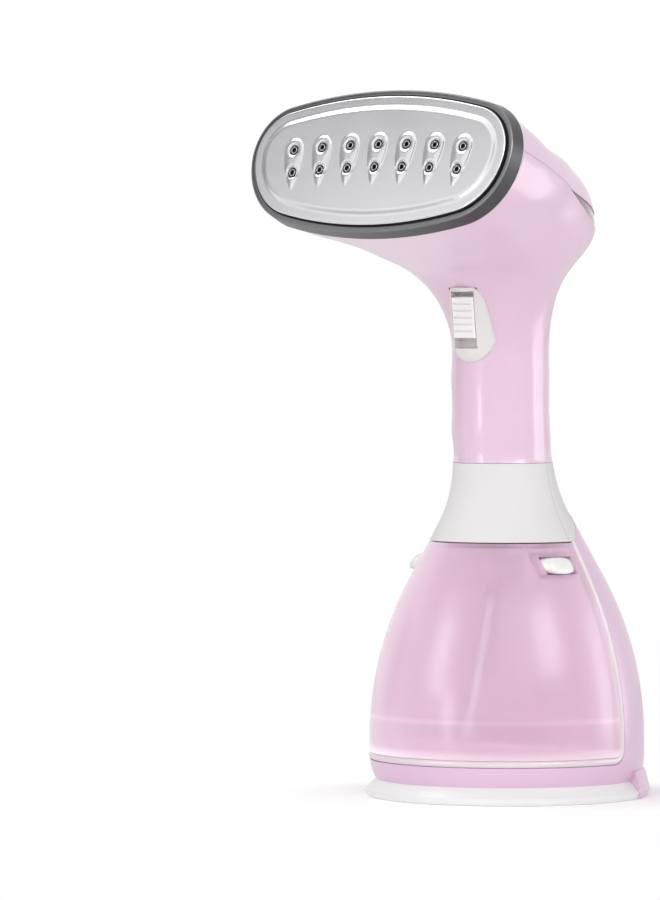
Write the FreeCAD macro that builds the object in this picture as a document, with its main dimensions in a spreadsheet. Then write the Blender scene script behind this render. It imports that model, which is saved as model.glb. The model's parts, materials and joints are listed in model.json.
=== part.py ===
import FreeCAD, Part
import Sketcher
import math
import os
from FreeCAD import Placement, Rotation, Vector

# Handheld garment steamer, standing on its base. Millimetres and degrees.
# Origin: centre of the foot's underside. +Z up, -Y is the front, where the steam plate faces.

SIZES = {
    # foot, base drum and deck
    "foot_floor_radius": 57.0, "foot_widest_radius": 58.4, "foot_widest_level": 2.8,
    "foot_round": 3.4, "foot_top_radius": 54.0, "foot_height": 7.0,
    "foot_hole_radius": 50.6, "foot_ledge_radius": 48.6,
    "heel_front": 14.5, "heel_inner": 53.8, "heel_radius": 58.9, "heel_level": 3.4, "heel_top": 11.5,
    "base_plate_thickness": 2.4, "base_screw_circle": 40.0, "base_screw_radius": 1.4,
    "base_screw_head_radius": 2.9, "base_screw_head_height": 1.6, "base_screw_length": 9.0,
    "boss_radius": 3.6, "band_top": 15.0, "deck_bottom": 12.4, "deck_top": 17.8,
    # bell outline: tucked in at the foot, a wide arc, a straight flank, a hollow arc into the neck
    "tuck_level": 17.0, "tuck_arc": 20.0, "bell_radius": 56.6, "bell_start": 24.0, "bell_arc": 140.0, "flank_angle": 28.5,
    "neck_arc": 57.8, "neck_radius": 20.5,
    # levels and gaps of the tank bay
    "tank_top": 104.7, "ceiling_bottom": 105.0, "ceiling_thickness": 2.4,
    "housing_wall": 2.4, "housing_top": 122.0, "housing_front": 4.8,
    "spine_low": 105.3, "spine_slope": 0.73, "bulkhead_front": 1.8, "bulkhead_thickness": 3.9, "stem_clearance": 1.1, "stem_wall": 2.6,
    "stem_top": 150.0, "running_gap": 0.3, "fit_gap": 0.15,
    # bead round the tank bay
    "bead_radius": 1.5, "bead_proud": 0.3, "bead_corner": 5.0,
    # water tank, its valve, tube and plug
    "tank_wall": 2.0, "valve_width": 14.5, "valve_depth": 13.0, "valve_height": 17.0,
    "valve_setback": 12.0, "spigot_radius": 3.2, "spigot_level": 96.0, "spigot_reach": 3.6,
    "socket_radius": 5.4, "socket_length": 6.0,
    "tube_radius": 1.75, "tube_foot_y": -25.0, "tube_foot_z": 31.0,
    "filter_radius": 3.4, "filter_height": 6.0,
    "plug_x": 18.0, "plug_y": -13.0, "plug_radius": 4.6, "plug_flange": 6.4,
    "plug_flange_thickness": 1.2, "plug_depth": 4.2,
    # tank release buttons
    "latch_level": 95.8, "latch_width": 14.5, "latch_height": 6.6, "latch_angle": 73.0,
    "latch_depth": 6.0, "latch_proud": 2.6, "latch_corner": 2.2, "latch_rim": 0.9, "latch_travel": 2.5, "pocket_wall": 1.6,
    # collar and handle
    "collar_front": 105.2, "collar_top": 137.3, "collar_wall": 1.8,
    "lean_start": 98.0, "lean_end": 165.0, "lean_total": 4.6,
    "handle_radius": 20.1, "handle_top": 188.0, "shell_wall": 2.4, "seam_gap": 0.1,
    # head: steam plate, bezel and the shell behind them
    "plate_y": -86.3, "plate_z": 259.4, "plate_tilt": 16.6,
    "plate_half_length": 62.9, "plate_half_width": 27.0, "plate_joint_angle": 76.4,
    "plate_shoulder": 3.0, "plate_lift": 1.1, "plate_sheet": 1.2,
    "flange_width": 3.5, "step_width": 2.7, "pad_height": 0.6,
    "gasket_lip": 0.6, "gasket_height": 1.1, "gasket_proud": 0.3,
    "bezel_face_width": 2.2, "bezel_flare": 0.8, "bezel_depth": 6.8, "bezel_round": 0.6,
    "bezel_step_width": 1.2, "bezel_step_depth": 0.45,
    "bezel_ledge": 3.4, "bezel_ledge_thickness": 1.4,
    "nozzle_pitch": 14.27, "nozzle_rise": 6.4, "nozzle_fall": 3.1, "nozzle_arch": 1.62,
    "nozzle_fan": 0.975,
    "eyelet_radius": 2.2, "eyelet_bore": 0.95, "eyelet_length": 3.6, "eyelet_proud": 0.25,
    "drop_radius": 4.7, "drop_length": 22.0, "drop_height": 0.6, "drop_bevel": 0.5,
    "drop_crown": 0.4, "crater_radius": 3.3, "crater_depth": 0.5,
    "shell_section_count": 18, "window_tip_y": -33.9, "window_tip_z": 248.2,
    "window_top_drop": 15.5, "window_low_drop": 22.5, "window_reach": 60.0,
    "window_sag": 2.6, "window_setback": 0.5, "seam_slope": 0.332,
    # heater
    "heater_inset": 5.4, "heater_depth": 14.0, "heater_lid_inset": 5.0,
    "heater_lid_thickness": 2.0, "element_radius": 3.2, "element_inset": 9.5,
    "thermostat_radius": 8.0, "thermostat_height": 6.0, "fuse_radius": 2.0, "fuse_length": 14.0,
    "heater_screw_radius": 1.5, "heater_screw_head": 2.8,
    # steam switch on the front of the handle
    "switch_low": 178.6, "switch_high": 209.0, "switch_width_top": 8.75, "switch_width_low": 10.6,
    "switch_corner": 2.0, "switch_face_y": -29.4, "switch_face_z": 195.85, "switch_tilt": 6.4,
    "pod_radius": 12.0, "chin_level": 187.0, "window_half_length": 11.7,
    "window_half_width": 5.8, "pocket_depth": 5.0, "pocket_floor": 1.2,
    "slider_rest": 1.0, "slider_half_length": 8.45, "slider_gap": 0.35, "slider_proud": 0.6,
    "slider_lift": 0.3, "slider_travel_down": 4.0, "slider_travel_up": 2.0,
    "rib_count": 6, "rib_depth": 0.7, "switch_half_width": 4.5, "switch_half_length": 9.0,
    "switch_depth": 8.0,
    # pump and lines
    "pump_radius": 11.0, "pump_offset": 4.6, "pump_low": 21.0, "pump_length": 46.0,
    "yoke_half_width": 15.0, "yoke_half_depth": 13.0, "yoke_height": 26.0,
    "hose_radius": 2.5, "wire_radius": 2.2, "line_bend": 5.0,
    "inlet_level": 27.0, "inlet_radius": 5.4, "inlet_bore": 3.2, "inlet_proud": 3.5,
}

# Stations of the head shell between the handle's top and the bezel's back. Each gives shares of the
# way from handle to bezel: of the throat's run in Y and Z, of the crown's run in Y and Z, and of the
# half width. Negative crown shares are where the back of the head hangs behind the handle.
HEAD_STATIONS = [
    (0.025, 0.226, 0.007, 0.173, 0.084),
    (0.073, 0.431, -0.015, 0.324, 0.235),
    (0.139, 0.601, -0.050, 0.437, 0.459),
    (0.346, 0.737, 0.030, 0.597, 0.653),
    (0.604, 0.858, 0.294, 0.759, 0.798),
    (0.824, 0.944, 0.633, 0.846, 0.942),
]

doc = FreeCAD.newDocument("GarmentSteamer")
sheet = doc.addObject("Spreadsheet::Sheet", "Dims")
for row, (alias, number) in enumerate(SIZES.items(), start=1):
    sheet.set(f"A{row}", alias)
    sheet.set(f"B{row}", str(number))
    sheet.setAlias(f"B{row}", alias)
doc.recompute()

nodes = []


def size(alias):
    """The value of a driving dimension."""
    return float(sheet.get(alias))


def bind(thing, **formulas):
    """Bind properties of a document object to cells of the sheet."""
    for prop, formula in formulas.items():
        words = [f"Dims.{w}" if w[0].isalpha() else w for w in formula.split()]
        thing.setExpression(prop, " ".join(words))
    return thing


def node(thing, label):
    """Name a finished sub-part: its Label is also its file name."""
    thing.Label = label
    nodes.append(thing)
    return thing


def feature(label, shape, placement=None):
    """A sub-part whose shape is built here from the sheet's sizes."""
    thing = doc.addObject("Part::Feature", label)
    thing.Shape = shape
    if placement is not None:
        thing.Placement = placement
    return node(thing, label)


def box(x0, x1, y0, y1, z0, z1):
    return Part.makeBox(x1 - x0, y1 - y0, z1 - z0, Vector(x0, y0, z0))


def rod(radius, start, end):
    """A round bar between two points."""
    along = end - start
    return Part.makeCylinder(radius, along.Length, start, along)


# ---------------------------------------------------------------- outlines

def bell_marks(offset):
    """Points where the bell's arcs and flank meet, moved inwards by offset."""
    angle = math.radians(size("flank_angle"))
    wide, hollow = size("bell_arc") - offset, size("neck_arc") + offset
    start = Vector(size("bell_radius") - offset, 0, size("bell_start"))
    centre = start - Vector(wide, 0, 0)
    flank = centre + Vector(wide * math.cos(angle), 0, wide * math.sin(angle))
    neck_x = size("neck_radius") - offset + hollow * (1 - math.cos(angle))
    rise = (flank.x - neck_x) / math.tan(angle)
    waist = Vector(neck_x, 0, flank.z + rise)
    neck_centre = Vector(size("neck_radius") - offset + hollow, 0, waist.z + hollow * math.sin(angle))
    return start, centre, flank, waist, neck_centre


def bell_radius_at(level, offset=0.0):
    """Radius of the bell at a height."""
    start, centre, flank, waist, neck_centre = bell_marks(offset)
    if level <= size("tuck_level"):
        tuck = size("tuck_arc") - offset
        return start.x - tuck + math.sqrt(tuck ** 2 - (size("tuck_level") - level) ** 2)
    if level <= start.z:
        return start.x
    if level <= flank.z:
        return centre.x + math.sqrt((start.x - centre.x) ** 2 - (level - centre.z) ** 2)
    if level <= waist.z:
        return flank.x - (level - flank.z) * math.tan(math.radians(size("flank_angle")))
    hollow = size("neck_arc") + offset
    climb = min(level, neck_centre.z) - neck_centre.z
    return neck_centre.x - math.sqrt(hollow ** 2 - climb ** 2)


def bell_edges(offset, low, high):
    """The bell's side between two heights: its arcs, and the straight runs between them."""
    start, centre, flank, waist, neck_centre = bell_marks(offset)
    marks = [low, size("tuck_level"), start.z, flank.z, waist.z, high]
    edges = []
    for index in range(len(marks) - 1):
        z0, z1 = max(low, marks[index]), min(high, marks[index + 1])
        if z1 - z0 < 1e-6:
            continue
        p0 = Vector(bell_radius_at(z0, offset), 0, z0)
        p1 = Vector(bell_radius_at(z1, offset), 0, z1)
        if index in (1, 3):
            edges.append(Part.LineSegment(p0, p1).toShape())
        else:
            zm = (z0 + z1) / 2
            middle = Vector(bell_radius_at(zm, offset), 0, zm)
            edges.append(Part.Arc(p0, middle, p1).toShape())
    return edges


def bell_solid(offset, low, high):
    """Solid of revolution under the bell's side."""
    edges = bell_edges(offset, low, high)
    foot, top = edges[0].Vertexes[0].Point, edges[-1].Vertexes[-1].Point
    edges.append(Part.makeLine(top, Vector(0, 0, high)))
    edges.append(Part.makeLine(Vector(0, 0, high), Vector(0, 0, low)))
    edges.append(Part.makeLine(Vector(0, 0, low), foot))
    turned = Part.Face(Part.Wire(edges)).revolve(Vector(0, 0, 0), Vector(0, 0, 1), 360)
    turned.rotate(Vector(0, 0, 0), Vector(0, 0, 1), 90)
    return turned


def bay_block(front, floor, corner, reach=200.0):
    """The space in front of the plane Y = front and above floor, with a rounded inner corner."""
    block = box(-reach, reach, -reach, front, floor, floor + reach)
    if corner <= 0:
        return block
    edge = [e for e in block.Edges
            if abs(e.BoundBox.YMin - front) < 1e-6 and abs(e.BoundBox.ZMax - floor) < 1e-6
            and e.BoundBox.XLength > reach]
    return block.makeFillet(corner, edge)


def oval_wire(half_length, half_width, joint_angle, lift=0.0, shoulder=0.0):
    """Oval of six tangent arcs in the XY plane, at a height, with its ends at Y = shoulder. The
    arcs meet where the outline's normal stands at joint_angle to the long axis, so 45 suits a
    circle and more a blunt oval."""
    angle = math.radians(joint_angle)
    share = math.tan(math.pi / 4 - angle / 2)
    ends = []
    for side in (-1, 1):
        tall = half_width - side * shoulder
        end = (tall - share * half_length) / (1 - share)
        for turn in (angle, angle / 2):
            x = half_length - end + end * math.cos(turn)
            ends.append(Vector(x, shoulder + side * end * math.sin(turn), lift))
    low, low_middle, high, high_middle = ends
    tip = Vector(half_length, shoulder, lift)
    right = [Part.Arc(low, low_middle, tip).toShape(), Part.Arc(tip, high_middle, high).toShape()]
    left = [edge.mirror(Vector(0, 0, 0), Vector(1, 0, 0)) for edge in right]
    low_left, high_left = Vector(-low.x, low.y, lift), Vector(-high.x, high.y, lift)
    top = Part.Arc(high, Vector(0, half_width, lift), high_left).toShape()
    bottom = Part.Arc(low_left, Vector(0, -half_width, lift), low).toShape()
    return Part.Wire(right + [top, left[1], left[0], bottom])


def plate_oval(grow, lift=0.0):
    """The steam plate's outline, grown or shrunk, at a height over the plate's datum."""
    return oval_wire(size("plate_half_length") + grow, size("plate_half_width") + grow,
                     size("plate_joint_angle"), lift, size("plate_shoulder"))


def oval_slab(grow, low, high):
    """A slab of the plate's outline between two heights of the head's own frame."""
    return Part.Face(plate_oval(grow, low)).extrude(Vector(0, 0, high - low))


def head_frame():
    """Local frame of the head: Z out of the plate, Y up its face, X to the right."""
    turn = Rotation(Vector(1, 0, 0), 90 - size("plate_tilt"))
    return Placement(Vector(0, size("plate_y"), size("plate_z")), turn)


def lean(level):
    """How far the neck and handle stand forward of the base's axis."""
    share = (level - size("lean_start")) / (size("lean_end") - size("lean_start"))
    share = min(max(share, 0.0), 1.0)
    return -size("lean_total") * (1 - math.cos(math.pi * share)) / 2


def round_loft(levels, radius_of, offset):
    """Loft through circles that follow the lean of the neck."""
    rings = []
    for level in levels:
        circle = Part.Circle(Vector(0, lean(level), level), Vector(0, 0, 1), radius_of(level) - offset)
        rings.append(Part.Wire(circle.toShape()))
    return Part.makeLoft(rings, True, False)


def station_wire(throat, crown, half_width, offset, share):
    """One cross-section of the handle or head, from its throat to its crown. It goes from round
    at the handle to the steam plate's blunt oval as share goes from 0 to 1."""
    up = (crown - throat).normalize()
    out = Vector(1, 0, 0).cross(up)
    half_height = (crown - throat).Length / 2 - offset
    angle = 45 + (size("plate_joint_angle") - 45) * share
    wire = oval_wire(half_width - offset, half_height, angle, 0, size("plate_shoulder") * share)
    wire.Placement = Placement((throat + crown) * 0.5, Rotation(Vector(1, 0, 0), up, out, "ZXY"))
    return wire


def head_stations():
    """Throat, crown and half width at each station from the collar to the bezel's back."""
    radius = size("handle_radius")
    low, straight, top = size("collar_top"), size("lean_end"), size("handle_top")
    stations = []
    for level in (low, (low + straight) / 2, straight, top):
        ring = max(radius, bell_radius_at(level)) if level == low else radius
        axis = Vector(0, lean(level), level)
        stations.append((axis - Vector(0, ring, 0), axis + Vector(0, ring, 0), ring, 0.0))
    throat, crown = stations[-1][:2]
    grow = bezel_outer() + size("bezel_flare") - size("fit_gap")
    wide, tall = size("plate_half_length") + grow, size("plate_half_width") + grow
    frame = head_frame()
    run = frame.multVec(Vector(0, -tall, -size("bezel_depth"))) - throat
    climb = frame.multVec(Vector(0, tall, -size("bezel_depth"))) - crown
    for ty, tz, cy, cz, width in HEAD_STATIONS + [(1.0, 1.0, 1.0, 1.0, 1.0)]:
        below = throat + Vector(0, run.y * ty, run.z * tz)
        above = crown + Vector(0, climb.y * cy, climb.z * cz)
        stations.append((below, above, radius + (wide - radius) * width, width))
    return stations


def slopes(marks, values):
    """Slopes of a smooth curve through values at marks, kept from overshooting."""
    steps = [(b - a) / (q - p) for p, q, a, b in zip(marks, marks[1:], values, values[1:])]
    inner = []
    for before, after in zip(steps, steps[1:]):
        inner.append(0.0 if before * after <= 0 else 2 * before * after / (before + after))
    return [steps[0]] + inner + [steps[-1]]


def smooth(marks, values, tangents, at):
    """Value of the smooth curve at one place."""
    index = max(i for i in range(len(marks) - 1) if marks[i] <= at or i == 0)
    span = marks[index + 1] - marks[index]
    t = (at - marks[index]) / span
    bend = t * t * (3 - 2 * t)
    start, end = tangents[index] * span, tangents[index + 1] * span
    return (values[index] * (1 - bend) + values[index + 1] * bend
            + start * t * (1 - t) ** 2 - end * t * t * (1 - t))


def shell_sections(offset):
    """Evenly spaced cross-sections of the handle and head, moved inwards by offset."""
    stations = head_stations()
    marks = [0.0]
    for a, b in zip(stations, stations[1:]):
        marks.append(marks[-1] + ((b[0] - a[0]).Length + (b[1] - a[1]).Length) / 2)
    tracks = []
    for pick in (lambda s: s[0].y, lambda s: s[0].z, lambda s: s[1].y, lambda s: s[1].z,
                 lambda s: s[2], lambda s: s[3]):
        values = [pick(s) for s in stations]
        tracks.append((values, slopes(marks, values)))
    wires = []
    count = int(size("shell_section_count"))
    for index in range(count):
        at = marks[-1] * index / (count - 1)
        ty, tz, cy, cz, wide, share = [smooth(marks, values, tangents, at) for values, tangents in tracks]
        wires.append(station_wire(Vector(0, ty, tz), Vector(0, cy, cz), wide, offset, share))
    return wires


def shell_solid(offset, overrun=0.0):
    """Handle and head as one solid, moved inwards by offset, its two ends drawn out by overrun."""
    wires = shell_sections(offset)
    solid = Part.makeLoft(wires, True, False)
    if overrun:
        solid = solid.fuse(Part.Face(wires[0]).extrude(Vector(0, 0, -overrun)))
        out = head_frame().Rotation.multVec(Vector(0, 0, overrun))
        solid = solid.fuse(Part.Face(wires[-1]).extrude(out))
    return solid


def shell_skin(outer, inner):
    """The handle and head's wall between two offsets, open at both ends."""
    return shell_solid(outer).cut(shell_solid(inner, 5.0))


def bezel_outer():
    """How far the bezel's face reaches beyond the steam plate's edge."""
    return size("gasket_lip") + size("bezel_face_width")


def rounded_path(points, bend):
    """Straight runs joined by tangent arcs."""
    edges = []
    last = points[0]
    for before, here, after in zip(points, points[1:], points[2:]):
        into, away = (here - before).normalize(), (after - here).normalize()
        turn = into.getAngle(away)
        radius = min(bend, 0.45 * min((here - before).Length, (after - here).Length) / math.tan(turn / 2))
        cut = radius * math.tan(turn / 2)
        a, b = here - into * cut, here + away * cut
        bisector = (away - into).normalize()
        centre = here + bisector * (radius / math.cos(turn / 2))
        edges.append(Part.makeLine(last, a))
        edges.append(Part.Arc(a, centre - bisector * radius, b).toShape())
        last = b
    edges.append(Part.makeLine(last, points[-1]))
    return Part.Wire(edges)


def tube_along(points, radius, bend):
    """A round line of one thickness along a path."""
    return swept(rounded_path(points, bend), radius)


# ---------------------------------------------------------------- sketches

def number_of(formula):
    """Sum of words and numbers of a formula such as 'foot_height - wall'."""
    total, sign = 0.0, 1.0
    for word in formula.split():
        if word in "+-":
            sign = -1.0 if word == "-" else 1.0
            continue
        total += sign * (size(word) if word[0].isalpha() else float(word))
    return total


def profile_sketch(body, plane, corners):
    """Closed outline on an origin plane. A corner is (across, up) or (across, up, radius), whose
    radius makes the edge that leads to it an arc; every corner is bound to the sheet."""
    sketch = body.newObject("Sketcher::SketchObject", "Outline")
    origin = [f for f in body.Origin.OriginFeatures if f.Role == plane][0]
    sketch.AttachmentSupport = [(origin, "")]
    sketch.MapMode = "FlatFace"
    spots = [Vector(number_of(c[0]), number_of(c[1]), 0) for c in corners]
    count = len(corners)
    for index in range(count):
        start, end = spots[index], spots[(index + 1) % count]
        arc = corners[(index + 1) % count][2:]
        if not arc:
            sketch.addGeometry(Part.LineSegment(start, end), False)
            continue
        radius = number_of(arc[0])
        chord = end - start
        side = Vector(chord.y, -chord.x, 0).normalize() * (1 if radius > 0 else -1)
        sag = abs(radius) - math.sqrt(radius ** 2 - (chord.Length / 2) ** 2)
        sketch.addGeometry(Part.Arc(start, (start + end) * 0.5 + side * sag, end), False)
    bind_corners(sketch, corners, spots)
    return sketch


def bind_corners(sketch, corners, spots):
    """Join the edges of an outline and tie each corner to its formulas."""
    count = len(corners)
    for index in range(count):
        geometry = sketch.Geometry[index]
        begins = (geometry.StartPoint - spots[index]).Length < 1e-6
        following = sketch.Geometry[(index + 1) % count]
        next_begins = (following.StartPoint - spots[(index + 1) % count]).Length < 1e-6
        end_of = 2 if begins else 1
        start_of = 1 if next_begins else 2
        sketch.addConstraint(Sketcher.Constraint("Coincident", index, end_of, (index + 1) % count, start_of))
    for index in range(count):
        begins = (sketch.Geometry[index].StartPoint - spots[index]).Length < 1e-6
        point = 1 if begins else 2
        for axis, kind in enumerate(("DistanceX", "DistanceY")):
            value = spots[index][axis]
            if value == 0:
                sketch.addConstraint(Sketcher.Constraint("PointOnObject", index, point, axis - 2))
                continue
            spot = sketch.addConstraint(Sketcher.Constraint(kind, -1, 1, index, point, value))
            name = f"{kind}{index}"
            sketch.renameConstraint(spot, name)
            bind(sketch, **{f"Constraints.{name}": corners[index][axis]})
        arc = corners[(index + 1) % count][2:]
        if arc:
            radius = abs(number_of(arc[0]))
            spot = sketch.addConstraint(Sketcher.Constraint("Radius", index, radius))
            sketch.renameConstraint(spot, f"Radius{index}")


def revolved(label, corners):
    """A turned shape about the Z axis."""
    body = doc.addObject("PartDesign::Body", label)
    sketch = profile_sketch(body, "XZ_Plane", corners)
    turn = body.newObject("PartDesign::Revolution", "Turn")
    turn.Profile = sketch
    turn.ReferenceAxis = (sketch, ["V_Axis"])
    turn.Angle = 360
    return body


def cylinder(label, radius, height, base, direction=Vector(0, 0, 1), frame=None):
    """A round primitive bound to the sheet; base and direction are in frame when it is given."""
    thing = doc.addObject("Part::Cylinder", label)
    bind(thing, Radius=radius, Height=height)
    place = Placement(base, Rotation(Vector(0, 0, 1), direction))
    thing.Placement = frame.multiply(place) if frame else place
    return node(thing, label)


# ---------------------------------------------------------------- foot and base

def make_foot():
    """White flared ring that the steamer stands on, with an inner ledge for the base plate. Its
    flare stops at the rear, where the housing's heel takes its place."""
    turning = revolved("foot_turning", [
        ("foot_hole_radius", "0"),
        ("foot_floor_radius", "0"),
        ("foot_widest_radius", "foot_widest_level", "foot_round"),
        ("foot_top_radius", "foot_height"),
        ("foot_ledge_radius", "foot_height"),
        ("foot_ledge_radius", "base_plate_thickness"),
        ("foot_hole_radius", "base_plate_thickness"),
    ])
    bay = doc.addObject("Part::Feature", "heel_bay")
    bay.Shape = behind_heel_front(size("heel_inner") - 0.1, size("heel_front") - 0.1)
    foot = doc.addObject("Part::Cut", "foot_ring")
    foot.Base = turning
    foot.Tool = bay
    node(foot, "foot_ring")


def behind_heel_front(inner, front):
    """The space outside a radius, round the rear of the base."""
    reach, tall = 80, 20
    ring = Part.makeCylinder(reach, tall).cut(Part.makeCylinder(inner, tall))
    return ring.common(box(-reach, reach, front, reach, 0, tall))


def heel_shape():
    """Rear of the foot, as wide as the flare and a little higher."""
    inner, widest, level = size("heel_inner"), size("heel_radius"), size("heel_level")
    floor, top = size("foot_floor_radius"), size("heel_top")
    shoulder, skin = top - 1.4, bell_radius_at(top)
    spots = [Vector(inner, 0, 0), Vector(floor, 0, 0), Vector(widest, 0, level),
             Vector(skin + 1.4, 0, shoulder), Vector(skin - 0.1, 0, top), Vector(inner, 0, top)]
    sole = Part.Arc(spots[1], Vector(widest - 0.45, 0, 0.35 * level), spots[2]).toShape()
    brow = Part.Arc(spots[3], Vector(skin + 0.95, 0, top - 0.45), spots[4]).toShape()
    edges = [Part.makeLine(spots[0], spots[1]), sole, Part.makeLine(spots[2], spots[3]), brow,
             Part.makeLine(spots[4], spots[5]), Part.makeLine(spots[5], spots[0])]
    turned = Part.Face(Part.Wire(edges)).revolve(Vector(0, 0, 0), Vector(0, 0, 1), 360)
    return turned.common(behind_heel_front(inner - 1, size("heel_front")))


def boss_places():
    """Where the four screws of the base plate go."""
    circle = size("base_screw_circle")
    turns = [math.radians(45 + 90 * i) for i in range(4)]
    return [Vector(circle * math.cos(t), circle * math.sin(t), 0) for t in turns]


def make_base_plate():
    """Flat cover under the base, with four countersunk screw holes."""
    thickness = size("base_plate_thickness")
    plate = Part.makeCylinder(size("foot_hole_radius") - size("fit_gap"), thickness)
    for place in boss_places():
        plate = plate.cut(Part.makeCylinder(size("base_screw_radius") + size("fit_gap"), thickness, place))
        head = size("base_screw_head_radius") + size("fit_gap")
        plate = plate.cut(Part.makeCylinder(head, size("base_screw_head_height"), place))
    rim = [e for e in plate.Edges if abs(e.Length - 2 * math.pi * plate.BoundBox.XMax) < 0.1]
    feature("base_plate", plate.makeChamfer(0.4, rim[:1]))


def make_base_screws():
    """Four cheese-head screws from below, through the base plate into the chassis."""
    screws = []
    for place in boss_places():
        low = place + Vector(0, 0, 0.2)
        head = Part.makeCylinder(size("base_screw_head_radius"), size("base_screw_head_height") - 0.2, low)
        slot = box(place.x - 2, place.x + 2, place.y - 0.35, place.y + 0.35, 0, 0.8)
        shank = Part.makeCylinder(size("base_screw_radius"), size("base_screw_length"), low)
        screws.append(head.cut(slot).fuse(shank).removeSplitter())
    feature("base_screws", Part.makeCompound(screws))


def inlet_axis():
    """Start of the cord gland's axis, on the inside of the rear of the base."""
    return Vector(0, size("bell_radius") - size("housing_wall") - 3.0, size("inlet_level"))


def make_housing():
    """Pink outer moulding: the band round the base, the rear of the bell and the heel, in one."""
    wall = size("housing_wall")
    low, top = size("foot_height"), size("housing_top")
    skin = bell_solid(0, low, top).cut(bell_solid(wall, low, top))
    corner = size("bead_corner") + size("bead_radius") + 0.1
    skin = skin.cut(bay_block(size("housing_front"), size("band_top"), corner))
    hole = Part.makeCylinder(size("inlet_radius") + 0.1, 30, inlet_axis(), Vector(0, 1, 0))
    skin = skin.cut(hole).cut(spine_block(0, over=True))
    feature("rear_housing", skin.fuse(heel_shape()).removeSplitter())


def spine_block(gap, over):
    """The space over, or under, the sloping top of the housing's spine, moved up by a gap."""
    reach, front = 100.0, size("housing_front") - gap
    level = size("spine_low") + gap
    rise = size("spine_slope") * (reach - front)
    fall = size("spine_slope") * (reach + front)
    if over:
        spots = [(-reach, level - fall), (reach, level + rise), (reach, level + 300), (-reach, level + 300)]
    else:
        spots = [(front, 0), (front, level), (reach, level + rise), (reach, 0)]
    corners = [Vector(0, y, z) for y, z in spots]
    return side_view_block([Part.makeLine(a, b) for a, b in zip(corners, corners[1:] + corners[:1])])


def bulkhead_back():
    return size("bulkhead_front") + size("bulkhead_thickness")


def make_chassis():
    """White inner frame: deck, bulkhead behind the tank, ceiling over it and the neck stem."""
    inner = size("housing_wall") + size("fit_gap")
    ceiling, sheet_up = size("ceiling_bottom"), size("ceiling_thickness")
    rebate = 2 * size("bead_radius") - size("bead_proud") + 0.1
    deck = bell_solid(inner, size("deck_bottom"), size("band_top"))
    deck = deck.fuse(bell_solid(rebate, size("band_top"), size("deck_top")))
    slab = box(-70, 70, size("bulkhead_front"), bulkhead_back(), size("deck_top"), ceiling)
    deck = deck.fuse(bell_solid(rebate, size("deck_top"), ceiling).common(slab))
    deck = deck.fuse(bell_solid(rebate, ceiling, ceiling + sheet_up))
    stem_foot = Vector(0, (lean(size("collar_top")) + lean(size("stem_top"))) / 2, ceiling)
    stem = size("stem_top") - ceiling
    radius = size("handle_radius") - size("shell_wall") - size("stem_clearance")
    deck = deck.fuse(Part.makeCylinder(radius, stem, stem_foot))
    bore_foot = stem_foot + Vector(0, 0, sheet_up + 2)
    bore = Part.makeCylinder(radius - size("stem_wall"), stem - sheet_up - 2, bore_foot)
    for place in boss_places():
        low = size("base_plate_thickness")
        boss = Part.makeCylinder(size("boss_radius"), size("deck_bottom") - low, place + Vector(0, 0, low))
        deck = deck.fuse(boss)
    return deck.removeSplitter().cut(bore)


def socket_axis(reach):
    """A point on the axis of the valve spigot, reach behind the bulkhead's front."""
    return Vector(0, size("bulkhead_front") + reach, size("spigot_level"))


def finish_chassis(frame):
    """Screw holes, valve socket hole and the passages for the hose and the wires."""
    for place in boss_places():
        low = size("base_plate_thickness")
        frame = frame.cut(Part.makeCylinder(size("base_screw_radius"), size("base_screw_length"),
                                            place + Vector(0, 0, low - 1)))
    wall = size("bulkhead_thickness")
    socket = Part.makeCylinder(size("socket_radius"), wall, socket_axis(0), Vector(0, 1, 0))
    frame = frame.cut(socket)
    for points, radius in ((riser_points(), size("hose_radius")), (wire_points(), size("wire_radius"))):
        frame = frame.cut(tube_along(points, radius + 0.4, size("line_bend")))
    feature("chassis", frame)


def bead_path():
    """Half a ring round the front, a rounded corner each side and two uprights up the bell."""
    centre = size("bead_radius") - size("bead_proud")
    level, corner = size("band_top") + size("bead_radius"), size("bead_corner")
    ring = size("bell_radius") - centre
    start = size("housing_front") - size("bead_radius") - 0.1 - corner
    here = Vector(math.sqrt(ring ** 2 - start ** 2), start, level)
    back, up = Vector(-here.y, here.x, 0) / ring, Vector(0, 0, 1)
    hub = here + up * corner
    there = hub + back * corner
    bend = Part.Arc(here, hub + (back - up).normalize() * corner, there).toShape()
    uprights = bell_edges(centre, there.z, size("tank_top"))
    for edge in uprights:
        edge.translate(Vector(there.x - bell_radius_at(there.z, centre), there.y, 0))
    right = [bend] + uprights
    left = [edge.mirror(Vector(0, 0, 0), Vector(1, 0, 0)) for edge in right]
    front = Part.Arc(here, Vector(0, -ring, level), Vector(-here.x, here.y, level)).toShape()
    return Part.Wire(Part.__sortEdges__(left + [front] + right))


def swept(path, radius):
    """A round rod along a path of tangent lines and arcs."""
    edge, start = path.OrderedEdges[0], path.OrderedVertexes[0].Point
    along = edge.tangentAt(edge.FirstParameter)
    ring = Part.Wire(Part.Circle(start, along, radius).toShape())
    return path.makePipeShell([ring], True, False)


# ---------------------------------------------------------------- water tank

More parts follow.
